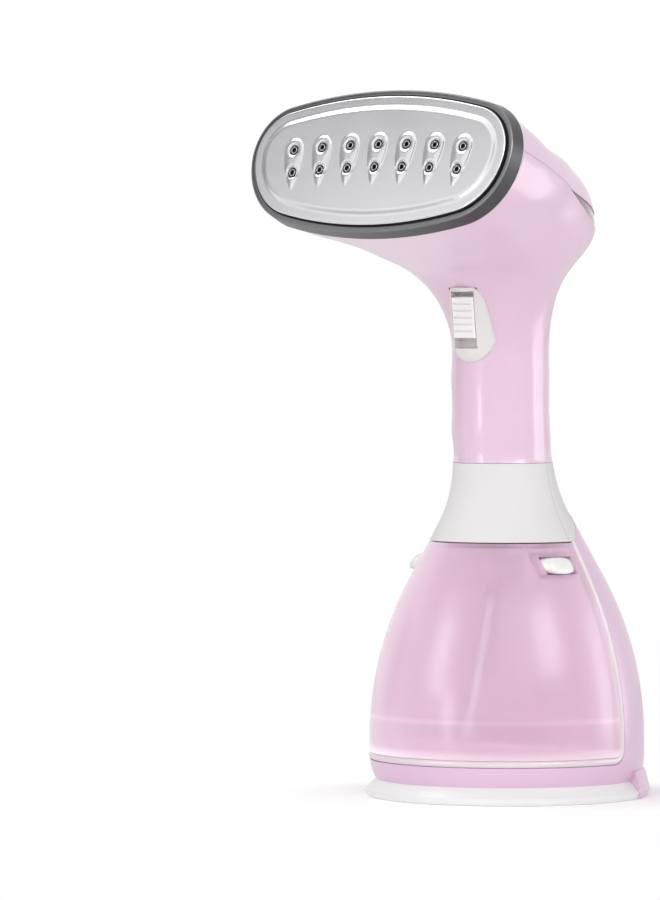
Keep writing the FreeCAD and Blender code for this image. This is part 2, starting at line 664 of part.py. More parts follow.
def tank_shape():
    """Clear front half of the bell, hollow, with button pockets, filler and spigot holes."""
    wall, gap = size("tank_wall"), size("running_gap")
    low, top = size("deck_top") + gap, size("tank_top")
    back = size("bulkhead_front") - gap
    corner = size("bead_corner") - size("bead_radius") - gap
    outside = bell_solid(0, low, top).common(bay_block(back, low - 0.01, 0))
    rear_foot = [e for e in outside.Edges
                 if abs(e.BoundBox.YMin - back) < 1e-6 and abs(e.BoundBox.ZMax - low) < 1e-6]
    outside = outside.makeFillet(corner, rear_foot)
    inside = bell_solid(wall, low + wall, top - wall).common(bay_block(back - wall, low, 0))
    pockets = [latch_frame(hand) for hand in (-1, 1)]
    wide, tall, deep = size("latch_width"), size("latch_height"), size("latch_depth") + size("latch_travel")
    for frame in pockets:
        skin = size("pocket_wall")
        block = box(-wide / 2 - skin - gap, wide / 2 + skin + gap, -tall / 2 - skin - gap,
                    tall / 2 + skin + gap, -deep - skin - 1, 20)
        block.Placement = frame
        inside = inside.cut(block)
    tank = outside.cut(inside)
    for frame in pockets:
        hollow = box(-wide / 2 - gap, wide / 2 + gap, -tall / 2 - gap, tall / 2 + gap, -deep - 0.5, 20)
        hollow.Placement = frame
        tank = tank.cut(hollow)
    collar = Part.makeCylinder(size("plug_radius") + 2, size("plug_depth"), plug_axis())
    tank = tank.fuse(collar)
    tank = tank.cut(Part.makeCylinder(size("plug_radius"), 20, plug_axis() - Vector(0, 0, 5)))
    seat = Vector(0, 0, size("plug_depth") - size("plug_flange_thickness"))
    tank = tank.cut(Part.makeCylinder(size("plug_flange") + size("fit_gap"), 5, plug_axis() + seat))
    spigot = Part.makeCylinder(size("spigot_radius"), 3 * wall, socket_axis(-2 * wall), Vector(0, 1, 0))
    return tank.cut(spigot)


def latch_frame(hand):
    """Frame of a release button: local Z points outwards, square to the tank's side."""
    angle = math.radians(size("latch_angle")) * hand
    level = size("latch_level")
    reach = bell_radius_at(level)
    place = Vector(reach * math.sin(angle), -reach * math.cos(angle), level)
    out = Vector(hand, 0, 0)
    return Placement(place, Rotation(Vector(0, -hand, 0), Vector(0, 0, 1), out, "ZXY"))


def plug_axis():
    """Lower end of the filler plug's axis."""
    return Vector(size("plug_x"), size("plug_y"), size("tank_top") - size("plug_depth"))


def make_tank():
    """Tank, the valve block under its roof with a spigot to the rear, the tube, strainer and plug."""
    feature("water_tank", tank_shape())
    block = valve_shape()
    feature("tank_valve", block)
    foot, spout = Vector(0, size("tube_foot_y"), size("tube_foot_z")), tube_top()
    feature("intake_tube", rod(size("tube_radius"), foot, spout).cut(block))
    make_filter(foot, spout)
    make_plug()


def valve_shape():
    """Block with rounded uprights, its spigot through the tank's back and the tube's socket below."""
    roof = size("tank_top") - size("tank_wall")
    wide, deep, tall = size("valve_width"), size("valve_depth"), size("valve_height")
    middle = -size("valve_setback")
    block = box(-wide / 2, wide / 2, middle - deep / 2, middle + deep / 2, roof - tall, roof)
    block = block.makeFillet(2.0, [e for e in block.Edges if e.BoundBox.ZLength > tall / 2])
    reach = size("bulkhead_front") + size("spigot_reach") - middle
    start = socket_axis(middle - size("bulkhead_front"))
    block = block.fuse(Part.makeCylinder(size("spigot_radius"), reach, start, Vector(0, 1, 0)))
    return block.fuse(Part.makeCylinder(size("tube_radius") + 1.2, 4.0, tube_top())).removeSplitter()


def make_plug():
    """Filler plug pressed into the tank's roof, with a coin slot across its cap."""
    foot, cap_thickness = plug_axis(), size("plug_flange_thickness")
    body = size("plug_depth") - cap_thickness
    plug = Part.makeCylinder(size("plug_radius") - 0.05, body, foot)
    plug = plug.fuse(Part.makeCylinder(size("plug_flange"), cap_thickness, foot + Vector(0, 0, body)))
    top = size("tank_top")
    slot = box(foot.x - 4, foot.x + 4, foot.y - 0.8, foot.y + 0.8, top - 0.7, top)
    feature("filler_plug", plug.removeSplitter().cut(slot))


def tube_top():
    """Where the intake tube enters the valve block."""
    low = size("tank_top") - size("tank_wall") - size("valve_height") - 2.5
    return Vector(0, -size("valve_setback") + 2.0, low)


def make_filter(foot, spout):
    """Ribbed strainer on the lower end of the intake tube."""
    along = (foot - spout).normalize()
    height = size("filter_height")
    cup = Part.makeCylinder(size("filter_radius"), height, foot, along)
    for share in (0.25, 0.5, 0.75):
        groove = Part.makeCylinder(size("filter_radius") + 1, 0.7, foot + along * (height * share), along)
        core = Part.makeCylinder(size("filter_radius") - 0.6, 0.7, foot + along * (height * share), along)
        cup = cup.cut(groove.cut(core))
    feature("intake_filter", cup)


def make_latches():
    """White release buttons, one each side of the tank, pushed in to free it."""
    wide, tall = size("latch_width"), size("latch_height")
    back, proud = -size("latch_depth"), size("latch_proud")
    slant = tall / 2 * math.tan(math.radians(size("flank_angle")))
    profile = [Vector(-wide / 2, y, z) for y, z in
               ((-tall / 2, back), (-tall / 2, proud + slant), (tall / 2, proud - slant), (tall / 2, back))]
    for hand, side in ((-1, "left"), (1, "right")):
        pad = Part.Face(Part.makePolygon(profile + profile[:1])).extrude(Vector(wide, 0, 0))
        uprights = [e for e in pad.Edges if e.BoundBox.ZLength > 5]
        pad = pad.makeFillet(size("latch_corner"), uprights)
        rim = [e for e in pad.Edges if e.BoundBox.ZMin > 0]
        pad = pad.makeFillet(size("latch_rim"), rim)
        feature(f"latch_button_{side}", pad, latch_frame(hand))


# ---------------------------------------------------------------- collar, handle and head shell

def make_collar():
    """White flared collar between the bell and the handle."""
    low, top = size("collar_front"), size("collar_top") - size("fit_gap")
    levels = [low + (top - low) * i / 6 for i in range(7)]
    ring = round_loft(levels, bell_radius_at, 0).cut(round_loft(levels, bell_radius_at, size("collar_wall")))
    feature("collar", ring.cut(spine_block(0.2, over=False)))


def side_view_block(edges):
    """A block as wide as the head, from an outline in the YZ plane."""
    face = Part.Face(Part.Wire(edges))
    face.translate(Vector(-100, 0, 0))
    return face.extrude(Vector(200, 0, 0))


def window_lens(gap):
    """The back window's crescent in side view, smaller all round by a gap."""
    corner = Vector(0, size("window_tip_y"), size("window_tip_z"))
    rear = corner + Vector(0, size("window_reach"), -size("window_top_drop") - gap)
    low = corner + Vector(0, size("window_reach"), -size("window_low_drop") + gap)
    fall = size("window_top_drop") / size("window_reach")
    tip = corner + Vector(0, 8 * gap, -8 * gap * fall - gap)
    sag = (tip + low) * 0.5 - Vector(0, 0, size("window_sag") - gap)
    belly = Part.Arc(low, sag, tip).toShape()
    return side_view_block([Part.makeLine(tip, rear), Part.makeLine(rear, low), belly])


def make_shells():
    """Handle and head in two shells, with the smoked window let in between them at the back."""
    tip = Vector(0, size("window_tip_y"), size("window_tip_z"))
    front = tip + Vector(0, -100, 100 * size("seam_slope"))
    rear = tip + Vector(0, size("window_reach"), -size("window_top_drop"))
    far, high = Vector(0, rear.y, 400), Vector(0, front.y, 400)
    over = side_view_block([Part.makeLine(a, b) for a, b in
                            ((front, tip), (tip, rear), (rear, far), (far, high), (high, front))])
    shell = shell_skin(0, size("shell_wall"))
    feature("body_shell", shell.cut(over).cut(window_lens(0)).cut(switch_opening()))
    feature("top_cover", shell.common(over))
    inner = size("window_setback")
    feature("light_window", shell_skin(inner, inner + 1.6).common(window_lens(size("seam_gap"))))


# ---------------------------------------------------------------- steam switch

def switch_frame():
    """Frame of the switch: Z out of its face, Y up the way the slider runs, X to the right."""
    turn = Rotation(Vector(1, 0, 0), 90 + size("switch_tilt"))
    return Placement(Vector(0, size("switch_face_y"), size("switch_face_z")), turn)


def switch_box(half_width, low, high, back, front):
    """A box in the switch's frame, placed in the row's."""
    block = box(-half_width, half_width, low, high, back, front)
    block.Placement = switch_frame()
    return block


def switch_prism():
    """Outline of the switch's bezel, drawn backwards: straight on top, round below."""
    low, high = size("switch_low"), size("switch_high")
    top, foot = size("switch_width_top"), size("switch_width_low")
    shoulder = low + 0.8 * foot
    spots = [Vector(x, -60, z) for x, z in
             ((-foot, shoulder), (-top, high), (top, high), (foot, shoulder))]
    sides = [Part.makeLine(a, b) for a, b in zip(spots, spots[1:])]
    belly = Part.Arc(spots[3], Vector(0, -60, low), spots[0]).toShape()
    prism = Part.Face(Part.Wire(sides + [belly])).extrude(Vector(0, 50, 0))
    corners = [e for e in prism.Edges if e.BoundBox.ZMin > high - 1e-6 and e.BoundBox.YLength > 1]
    return prism.makeFillet(size("switch_corner"), corners)


def switch_pod():
    """Half-round body under the switch's face, with a round chin at its lower end."""
    radius, run = size("pod_radius"), 40.0
    bulge = radius - math.sqrt(radius ** 2 - size("window_half_width") ** 2)
    chin = Vector(0, size("chin_level") - size("switch_face_z"), bulge - radius)
    pod = Part.makeCylinder(radius, run, chin, Vector(0, 1, 0)).fuse(Part.makeSphere(radius, chin))
    pod.Placement = switch_frame()
    return pod


def pocket_back():
    return size("pocket_depth") + size("pocket_floor")


def switch_opening():
    """Hole in the handle's shell that the switch's pocket goes into."""
    grow = size("pocket_floor") + size("running_gap")
    half, reach = size("window_half_width") + grow, size("window_half_length") + grow
    return switch_box(half, -reach, reach, -pocket_back() - 8, 20)


def make_switch():
    """Bezel with its pocket, ribbed steam slider in it and the micro switch behind."""
    half, reach = size("window_half_width"), size("window_half_length")
    wall = size("pocket_floor")
    bezel = switch_pod().common(switch_prism()).cut(shell_solid(-0.1))
    bezel = bezel.fuse(switch_box(half + wall, -reach - wall, reach + wall, -pocket_back(), -1.5))
    bezel = bezel.cut(switch_box(half, -reach, reach, -size("pocket_depth"), 20))
    stem_half, stem_low, stem_high = slider_stem()
    gap, down, up = size("slider_gap"), size("slider_travel_down"), size("slider_travel_up")
    slot = switch_box(stem_half + gap, stem_low - down - gap, stem_high + up + gap, -pocket_back() - 1, 0)
    feature("switch_bezel", bezel.cut(slot).removeSplitter())
    make_slider()
    make_micro_switch()


def slider_stem():
    """Half width and the two ends of the stem that works the switch."""
    return 1.6, size("slider_rest") - 2.0, size("slider_rest") + 2.0


def make_slider():
    """Ribbed thumb slide, flush with its bezel, on a stem that goes through the pocket's floor."""
    half = size("window_half_width") - size("slider_gap")
    low = size("slider_rest") - size("slider_half_length")
    high = size("slider_rest") + size("slider_half_length")
    front, back = size("slider_proud"), -size("pocket_depth") + size("slider_lift")
    block = box(-half, half, low, high, back, front)
    block = block.makeFillet(0.5, [e for e in block.Edges if e.BoundBox.ZMin > front - 1e-6])
    pitch = (high - low) / size("rib_count")
    for index in range(1, int(size("rib_count"))):
        level = low + pitch * index
        floor = front - size("rib_depth")
        block = block.cut(box(-half + 0.9, half - 0.9, level - 0.35, level + 0.35, floor, front + 1))
    stem_half, stem_low, stem_high = slider_stem()
    block = block.fuse(box(-stem_half, stem_half, stem_low, stem_high, -pocket_back() - 1.6, back))
    feature("steam_slider", block.removeSplitter(), switch_frame())


def make_micro_switch():
    """Switch body behind the slider's stem, with three blade terminals behind it."""
    half, reach = size("switch_half_width"), size("switch_half_length")
    front = switch_front()
    back = front - size("switch_depth")
    body = box(-half, half, -reach, reach, back, front)
    for level in (-6.0, 0.0, 6.0):
        body = body.fuse(box(-1.6, 1.6, level - 0.3, level + 0.3, back - 3.0, back))
    feature("micro_switch", body.removeSplitter(), switch_frame())


def switch_front():
    """Depth of the micro switch's front in the switch's frame."""
    return -pocket_back() - 1.8


# ---------------------------------------------------------------- head: plate, bezel and heater

def nozzle_places():
    """Centres of the steam holes in the head's frame: seven columns of two, rows arched."""
    places = []
    for column in range(-3, 4):
        sag = size("nozzle_arch") * (column / 3) ** 2
        x = column * size("nozzle_pitch")
        top = Vector(x, size("nozzle_rise") - sag, 0)
        places.append((top, Vector(size("nozzle_fan") * x, -size("nozzle_fall") - sag, 0)))
    return places


def drop_wire(top, foot, grow, lift):
    """Outline of a drop round one column of holes: a round crown, and two bowed sides tangent to
    it that meet in a point below."""
    along = (foot - top).normalize()
    side = Vector(-along.y, along.x, 0)
    crown = top - along * size("drop_crown") + Vector(0, 0, lift)
    radius, run = size("drop_radius"), size("drop_length") - size("drop_radius")
    bow = (run ** 2 + radius ** 2) / (2 * radius)
    hub, radius, reach = bow - radius, radius + grow, bow + grow
    tip = crown + along * math.sqrt(reach ** 2 - hub ** 2)
    edges = [Part.Arc(crown + side * radius, crown - along * radius, crown - side * radius).toShape()]
    for hand in (-1, 1):
        centre = crown - side * (hub * hand)
        shoulder = crown + side * (radius * hand)
        half_way = ((shoulder - centre).normalize() + (tip - centre).normalize()).normalize()
        ends = (shoulder, tip) if hand < 0 else (tip, shoulder)
        edges.append(Part.Arc(ends[0], centre + half_way * reach, ends[1]).toShape())
    return Part.Wire(edges)


def teardrop(top, foot, pad):
    """One raised drop on the pad, with bevelled sides."""
    low = drop_wire(top, foot, 0, pad - 0.3)
    base = drop_wire(top, foot, 0, pad + 0.02)
    crest = drop_wire(top, foot, -size("drop_bevel"), pad + size("drop_height"))
    return Part.makeLoft([low, base, crest], True, True)


def plate_back():
    """Height of the back of the plate's flange in the head's frame."""
    return size("plate_lift") - size("plate_sheet")


def pad_level():
    return size("plate_lift") + size("pad_height")


def make_plate():
    """Pressed steel plate: flange, raised pad, seven raised drops, each with two cratered holes."""
    lift, pad, sheet_up = size("plate_lift"), pad_level(), size("plate_sheet")
    outer, inner = -size("flange_width"), -size("flange_width") - size("step_width")
    plate = oval_slab(0, lift - sheet_up, lift)
    rise = Part.makeLoft([plate_oval(outer, lift - 0.01), plate_oval(inner, pad)], True, False)
    hollow = [plate_oval(outer - sheet_up, lift - sheet_up), plate_oval(inner - sheet_up, pad - sheet_up)]
    plate = plate.fuse(rise).cut(Part.makeLoft(hollow, True, False))
    deep, wide = size("crater_depth"), size("crater_radius")
    ball = (wide ** 2 + deep ** 2) / (2 * deep)
    lowest = pad + size("drop_height") - deep
    holes = []
    for top, foot in nozzle_places():
        plate = plate.fuse(teardrop(top, foot, pad))
        for spot in (top, foot):
            holes.append(Part.makeSphere(ball, spot + Vector(0, 0, lowest + ball)))
            holes.append(Part.makeCylinder(size("eyelet_radius"), 6, spot - Vector(0, 0, 3)))
    plate = plate.cut(Part.makeCompound(holes)).removeSplitter()
    feature("steam_plate", plate, head_frame())


def make_eyelets():
    """Steel eyelets that line the fourteen steam holes."""
    eyelets = []
    top = pad_level() + size("drop_height") - size("crater_depth") + size("eyelet_proud")
    low = top - size("eyelet_length")
    for pair in nozzle_places():
        for spot in pair:
            ring = Part.makeCylinder(size("eyelet_radius"), top - low, spot + Vector(0, 0, low))
            ring = ring.makeChamfer(0.4, [e for e in ring.Edges if e.BoundBox.ZMin > top - 1e-3])
            eyelets.append(ring.cut(Part.makeCylinder(size("eyelet_bore"), 9, spot - Vector(0, 0, 5))))
    feature("nozzle_eyelets", Part.makeCompound(eyelets), head_frame())


def make_bezel():
    """Grey bezel with a stepped face and a deep flared rim, over a rubber gasket round the plate."""
    lip, deep, ledge = size("gasket_lip"), size("bezel_depth"), size("bezel_ledge")
    face = bezel_outer()
    seat = plate_back() - size("gasket_height")
    shelf = seat - size("bezel_ledge_thickness")
    rim = Part.makeLoft([plate_oval(face, 0), plate_oval(face + size("bezel_flare"), -deep)], True, True)
    brim = [e for e in rim.Edges if e.BoundBox.ZMin > -1e-3]
    rim = rim.makeFillet(size("bezel_round"), brim)
    rim = rim.cut(oval_slab(lip, seat, 5))
    rim = rim.cut(oval_slab(lip - ledge, -deep - 1, 0))
    step = size("bezel_step_width")
    rim = rim.cut(oval_slab(lip + step, -deep - 1, shelf))
    recess = oval_slab(lip + step, -size("bezel_step_depth"), 1).cut(oval_slab(lip - 1, -1, 2))
    feature("head_bezel", rim.cut(recess), head_frame())
    seal = oval_slab(lip, seat, size("gasket_proud")).cut(oval_slab(0, plate_back(), 2))
    seal = seal.cut(oval_slab(lip - ledge, seat - 1, 2))
    feature("plate_gasket", seal, head_frame())


def make_heater():
    """Cast steam chamber behind the plate, with its lid, element, thermostat, fuse and screws."""
    frame = head_frame()
    inset = size("heater_inset")
    front = plate_back()
    back = front - size("heater_depth")
    block = oval_slab(-inset, back, front)
    channel = element_path(back)
    block = block.cut(channel_groove(back))
    for pair in nozzle_places():
        for spot in pair:
            block = block.cut(Part.makeCylinder(size("eyelet_radius") + 0.1, size("eyelet_length"),
                                                spot + Vector(0, 0, front - 2.2)))
            block = block.cut(Part.makeCylinder(size("eyelet_bore"), 4, spot + Vector(0, 0, front - 5.5)))
    lid_back = back - size("heater_lid_thickness")
    screws = heater_screw_places()
    for place in screws:
        block = block.cut(Part.makeCylinder(size("heater_screw_radius"), 6.2, place + Vector(0, 0, back)))
    feature("heater_block", block.removeSplitter(), frame)
    lid = oval_slab(-inset - size("heater_lid_inset"), lid_back, back)
    nipple = Part.makeCylinder(size("hose_radius"), 5, inlet_nipple(lid_back - 5))
    lid = lid.fuse(nipple)
    for place in screws:
        hole = size("heater_screw_radius") + 0.2
        lid = lid.cut(Part.makeCylinder(hole, 20, place + Vector(0, 0, lid_back - 5)))
    lid = lid.cut(Part.makeCylinder(1.2, 12, inlet_nipple(lid_back - 6)))
    feature("heater_lid", lid.removeSplitter(), frame)
    feature("heating_element", channel, frame)
    make_heater_screws(screws, lid_back)
    make_safety(lid_back)


def inlet_nipple(height):
    """Where the water hose meets the heater's lid, in the head's frame."""
    return Vector(0, -8.0, height)


def element_half():
    """Half length and half width of the heating element's U."""
    inset = size("heater_inset") + size("element_inset")
    return size("plate_half_length") - inset - 9, size("plate_half_width") - inset + 1


def element_path(back):
    """U-shaped tubular element lying in the back of the steam chamber, with two pins at one end."""
    long_half, half = element_half()
    level = back + size("element_radius") + 0.4
    x = long_half - half
    top_line = Part.makeLine(Vector(-long_half + 6, half, level), Vector(x, half, level))
    bend = Part.Arc(Vector(x, half, level), Vector(x + half, 0, level), Vector(x, -half, level)).toShape()
    low_line = Part.makeLine(Vector(x, -half, level), Vector(-long_half + 6, -half, level))
    path = Part.Wire([top_line, bend, low_line])
    ring = Part.Circle(Vector(-long_half + 6, half, level), Vector(1, 0, 0), size("element_radius")).toShape()
    rod_shape = path.makePipeShell([Part.Wire(ring)], True, False)
    for side in (half, -half):
        pin = Part.makeCylinder(1.2, 5, Vector(-long_half + 6.5, side, level), Vector(-1, 0, 0))
        rod_shape = rod_shape.fuse(pin)
    return rod_shape


def channel_groove(back):
    """Square-bottomed groove for the element in the back of the steam chamber."""
    long_half, half = element_half()
    gap = size("element_radius") + 0.3
    low, high = back - 1, back + 2 * size("element_radius") + 0.7
    x = long_half - half
    outer = Part.makeCylinder(half + gap, high - low, Vector(x, 0, low))
    inner = Part.makeCylinder(half - gap, high - low, Vector(x, 0, low))
    ring = outer.cut(inner).common(box(x, 200, -100, 100, low, high))
    upper = box(-long_half, x, half - gap, half + gap, low, high)
    lower = box(-long_half, x, -half - gap, -half + gap, low, high)
    return ring.fuse(upper).fuse(lower)


def heater_screw_places():
    """Four screws near the ends of the heater's lid."""
    x = size("plate_half_length") - size("heater_inset") - size("heater_lid_inset") - 4.5
    return [Vector(-x, 0, 0), Vector(x, 0, 0)]


def make_heater_screws(places, lid_back):
    screws = []
    for place in places:
        head = Part.makeCylinder(size("heater_screw_head"), 1.8, place + Vector(0, 0, lid_back - 1.8))
        shank = Part.makeCylinder(size("heater_screw_radius"), 7.5, place + Vector(0, 0, lid_back))
        screws.append(head.fuse(shank).removeSplitter())
    feature("heater_screws", Part.makeCompound(screws), head_frame())


def make_safety(lid_back):
    """Button thermostat and thermal fuse on the heater's lid, and the insulating frame round it."""
    frame = head_frame()
    down = Vector(0, 0, -1)
    spot = Vector(18, 0, lid_back)
    cylinder("thermostat", "thermostat_radius", "thermostat_height", spot, down, frame)
    fuse_spot = Vector(-26, 0, lid_back - size("fuse_radius"))
    cylinder("thermal_fuse", "fuse_radius", "fuse_length", fuse_spot, Vector(1, 0, 0), frame)
    low, high = -size("bezel_depth") - 2.2, -size("bezel_depth") - 0.2
    hole = -size("heater_inset") + 0.3
    edge = bezel_outer() + size("bezel_flare") - size("fit_gap") - size("shell_wall") - 1.0
    ring = oval_slab(edge, low, high).cut(oval_slab(hole, low - 1, high + 1))
    feature("head_insulator", ring, frame)


# ---------------------------------------------------------------- pump, lines and cord gland

def pump_foot():
    """Lower end of the pump, a little forward of the middle between bulkhead and housing."""
    middle = (bulkhead_back() + size("bell_radius") - size("housing_wall")) / 2
    return Vector(0, middle - size("pump_offset"), size("pump_low"))


def hose_side():
    """How far left of the pump the low hose runs down."""
    return size("yoke_half_width") + 2 * size("hose_radius")


def wire_side():
    """How far left the wires run, clear of the low hose."""
    return hose_side() + size("hose_radius") + size("wire_radius") + 2.0


def riser_points():
    """Hose from the pump's head up through the right of the neck and handle to the heater."""
    pump_head = pump_foot() + Vector(0, 0, size("pump_length") + 6.0)
    frame = head_frame()
    lid_back = plate_back() - size("heater_depth") - size("heater_lid_thickness")
    nipple = frame.multVec(inlet_nipple(lid_back - 5.2))
    before = frame.multVec(inlet_nipple(lid_back - 20))
    ceiling, stem_top = size("ceiling_bottom"), size("stem_top")
    return [pump_head, pump_head + Vector(0, 0, 6), Vector(8, 12.5, ceiling - 8), Vector(4, 8.0, ceiling + 1),
            Vector(5, 4, ceiling + 22), Vector(6, 3, stem_top + 10), Vector(5, 0, stem_top + 50),
            before, nipple]


def wire_points():
    """Wires from the cord gland, up the left behind the bulkhead and through the neck to the switch."""
    start = inlet_axis() - Vector(0, 0.5, 0)
    low, ceiling, stem_top = size("inlet_level"), size("ceiling_bottom"), size("stem_top")
    last = switch_frame().multVec(Vector(0, -size("switch_half_length") - 0.2, switch_front() - 4))
    aside, wall = -wire_side(), bulkhead_back() + size("wire_radius")
    turn_back = pump_foot().y + 5.0
    return [start, start - Vector(0, 7, 0), Vector(aside, turn_back, low),
            Vector(aside, wall + 6, low + 13), Vector(-20, wall + 2.4, ceiling - 9),
            Vector(-4.3, wall + 0.7, ceiling + 1), Vector(-5, 2, ceiling + 20),
            Vector(-6, -4, stem_top), last - Vector(2, -2, 14), last - Vector(0, 0, 6), last]


def make_pump():
    """Small vibrating pump standing on rubber mounts behind the tank, with its coil and iron yoke."""
    foot = pump_foot()
    low, length = foot.z, size("pump_length")
    half, deep, tall = size("yoke_half_width"), size("yoke_half_depth"), size("yoke_height")
    mid = low + length / 2
    barrel = Part.makeCylinder(size("pump_radius"), length, foot)
    barrel = barrel.fuse(Part.makeCone(size("pump_radius"), 3.0, 4.0, foot + Vector(0, 0, length)))
    barrel = barrel.fuse(Part.makeCylinder(size("hose_radius"), 2.0, foot + Vector(0, 0, length + 4.0)))
    feature("pump_body", barrel.removeSplitter())
    yoke = box(-half, half, foot.y - deep, foot.y + deep, mid - tall / 2, mid + tall / 2)
    iron = 2.0
    inside, reach = tall / 2 - iron, deep + 1
    yoke = yoke.cut(box(-half + iron, half - iron, foot.y - reach, foot.y + reach,
                        mid - inside, mid + inside))
    yoke = yoke.cut(Part.makeCylinder(size("pump_radius") + 0.1, length, foot))
    feature("pump_yoke", yoke)
    coil = Part.makeCylinder(size("pump_radius") + 1.9, tall - 4.4, Vector(0, foot.y, mid - tall / 2 + 2.2))
    coil = coil.cut(Part.makeCylinder(size("pump_radius") + 0.1, length, foot))
    feature("pump_coil", coil)
    deck = size("deck_top")
    mount = Part.makeCylinder(size("pump_radius") + 2.5, low - deck + 3, Vector(0, foot.y, deck))
    mount = mount.cut(Part.makeCylinder(size("pump_radius") + 0.05, 10, foot))
    mount = mount.cut(Part.makeCylinder(4.0, 20, Vector(0, foot.y, deck - 1)))
    feature("pump_mount", mount)


def make_lines():
    """Hoses, wires, the valve socket and the cord gland."""
    back = socket_axis(1.2)
    sleeve = Part.makeCylinder(size("socket_radius") - 0.05, size("socket_length"), back, Vector(0, 1, 0))
    bore = Part.makeCylinder(size("spigot_radius") + 0.05, size("spigot_reach") - 1.0, back, Vector(0, 1, 0))
    sleeve = sleeve.cut(bore).cut(Part.makeCylinder(1.2, 20, back, Vector(0, 1, 0)))
    feature("valve_socket", sleeve)
    start = socket_axis(1.2 + size("socket_length") + 0.1)
    foot = pump_foot()
    side, inlet_height = -hose_side(), foot.z + 6.5
    low_hose = [start, start + Vector(0, 4, 0), Vector(side, foot.y, start.z - 14),
                Vector(side, foot.y, inlet_height), Vector(-size("pump_radius") - 0.1, foot.y, inlet_height)]
    feature("water_hose_low", tube_along(low_hose, size("hose_radius"), size("line_bend")))
    feature("water_hose_high", tube_along(riser_points(), size("hose_radius"), size("line_bend")))
    feature("wire_bundle", tube_along(wire_points(), size("wire_radius"), size("line_bend")))
    make_gland()


def make_gland():
    """Rubber gland for the cord in the rear of the base, with a collar outside the wall."""
    inlet, back, radius = inlet_axis(), Vector(0, 1, 0), size("inlet_radius")
    out = size("bell_radius") - inlet.y + size("inlet_proud")
    gland = Part.makeCylinder(radius, out, inlet, back)
    gland = gland.fuse(Part.makeCylinder(radius + 1.6, 1.4, inlet + back * (out - 1.4), back))
    gland = gland.cut(Part.makeCylinder(size("inlet_bore"), out + 2, inlet - back, back))
    feature("cord_inlet", gland.removeSplitter())


# ---------------------------------------------------------------- build, check and write

make_foot()
make_base_plate()
make_base_screws()
make_housing()
finish_chassis(make_chassis())
feature("tank_bead", swept(bead_path(), size("bead_radius")))
make_tank()
make_latches()
make_collar()
make_shells()
make_switch()
make_plate()
make_eyelets()
make_bezel()
make_heater()
make_pump()
make_lines()
doc.recompute()

for thing in doc.Objects:
    if "Invalid" in thing.State or "Error" in thing.State:
        raise RuntimeError(f"{thing.Label} failed: {thing.State}")
for thing in nodes:
    if thing.Shape.isNull() or not thing.Shape.isValid() or thing.Shape.Volume <= 0:
        raise RuntimeError(f"{thing.Label} has no valid solid")

os.makedirs("parts", exist_ok=True)
for thing in nodes:
    thing.Shape.exportStep(f"parts/{thing.Label}.step")
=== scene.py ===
import json
import math

import bpy
from mathutils import Matrix, Vector
from mathutils.geometry import delaunay_2d_cdt


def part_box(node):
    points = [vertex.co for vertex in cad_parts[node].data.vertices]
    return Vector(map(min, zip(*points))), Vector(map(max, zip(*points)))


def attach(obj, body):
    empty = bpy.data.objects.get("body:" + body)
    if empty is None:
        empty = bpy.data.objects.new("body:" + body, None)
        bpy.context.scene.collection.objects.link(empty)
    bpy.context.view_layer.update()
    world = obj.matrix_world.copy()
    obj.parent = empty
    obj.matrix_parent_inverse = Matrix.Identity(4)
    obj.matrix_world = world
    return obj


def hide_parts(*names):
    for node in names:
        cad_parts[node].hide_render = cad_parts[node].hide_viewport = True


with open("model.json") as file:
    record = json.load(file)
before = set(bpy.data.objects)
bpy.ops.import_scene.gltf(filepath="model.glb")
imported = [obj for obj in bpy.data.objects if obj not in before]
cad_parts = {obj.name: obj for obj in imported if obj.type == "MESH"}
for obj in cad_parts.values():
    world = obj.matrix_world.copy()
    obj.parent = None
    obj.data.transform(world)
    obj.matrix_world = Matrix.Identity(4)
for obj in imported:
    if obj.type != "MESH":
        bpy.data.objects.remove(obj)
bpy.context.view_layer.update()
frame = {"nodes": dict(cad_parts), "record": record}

# ---- Studio: the camera stands level with the handle, a little to the right of the steam plate.
# Plain pale floor, soft room that is brighter in front. Three soft lamps light the steamer, four
# only draw highlights, and flat cards give steel and gloss something darker to show.

mm = 0.001
white = (1, 1, 1, 1)
camera_turn = math.radians(36.75)
camera_reach = 2.3575
camera_height = 0.1948
camera_target = Vector((-0.0585, -0.0437, 0.1422))
floor_side = 12.0
floor_drop = 0.2 * mm
floor_pale, floor_glow = (0.9, 0.9, 0.9, 1), 0.2
shadow_reach, shadow_end = 0.058, 0.1
room_behind, room_in_front = 0.32, 0.72
lamp_aim = (0, 0, 0.16)
plate_middle = (0, -0.086, 0.26)
bell_middle = (0, 0, 0.1)


def new_object(name, data):
    """An object, linked into the scene."""
    thing = bpy.data.objects.new(name, data)
    bpy.context.scene.collection.objects.link(thing)
    return thing


def flat_mesh(name, wide, tall):
    """A flat rectangle round its own middle."""
    mesh = bpy.data.meshes.new(name)
    x, y = wide / 2, tall / 2
    mesh.from_pydata([(-x, -y, 0), (x, -y, 0), (x, y, 0), (-x, y, 0)], [], [(0, 1, 2, 3)])
    return mesh


def node_call(tree):
    """The call that adds a node to a tree. Each input takes a value or the socket that feeds it."""
    def add(kind, inputs=None, **settings):
        node = tree.nodes.new(kind)
        for name, value in settings.items():
            setattr(node, name, value)
        for socket, value in (inputs or {}).items():
            if isinstance(value, bpy.types.NodeSocket):
                tree.links.new(value, node.inputs[socket])
            else:
                node.inputs[socket].default_value = value
        return node
    return add


def new_finish(name):
    """An empty node material, and the call that adds a node to it."""
    material = bpy.data.materials.new(name)
    material.use_nodes = True
    material.node_tree.nodes.clear()
    return material, node_call(material.node_tree)


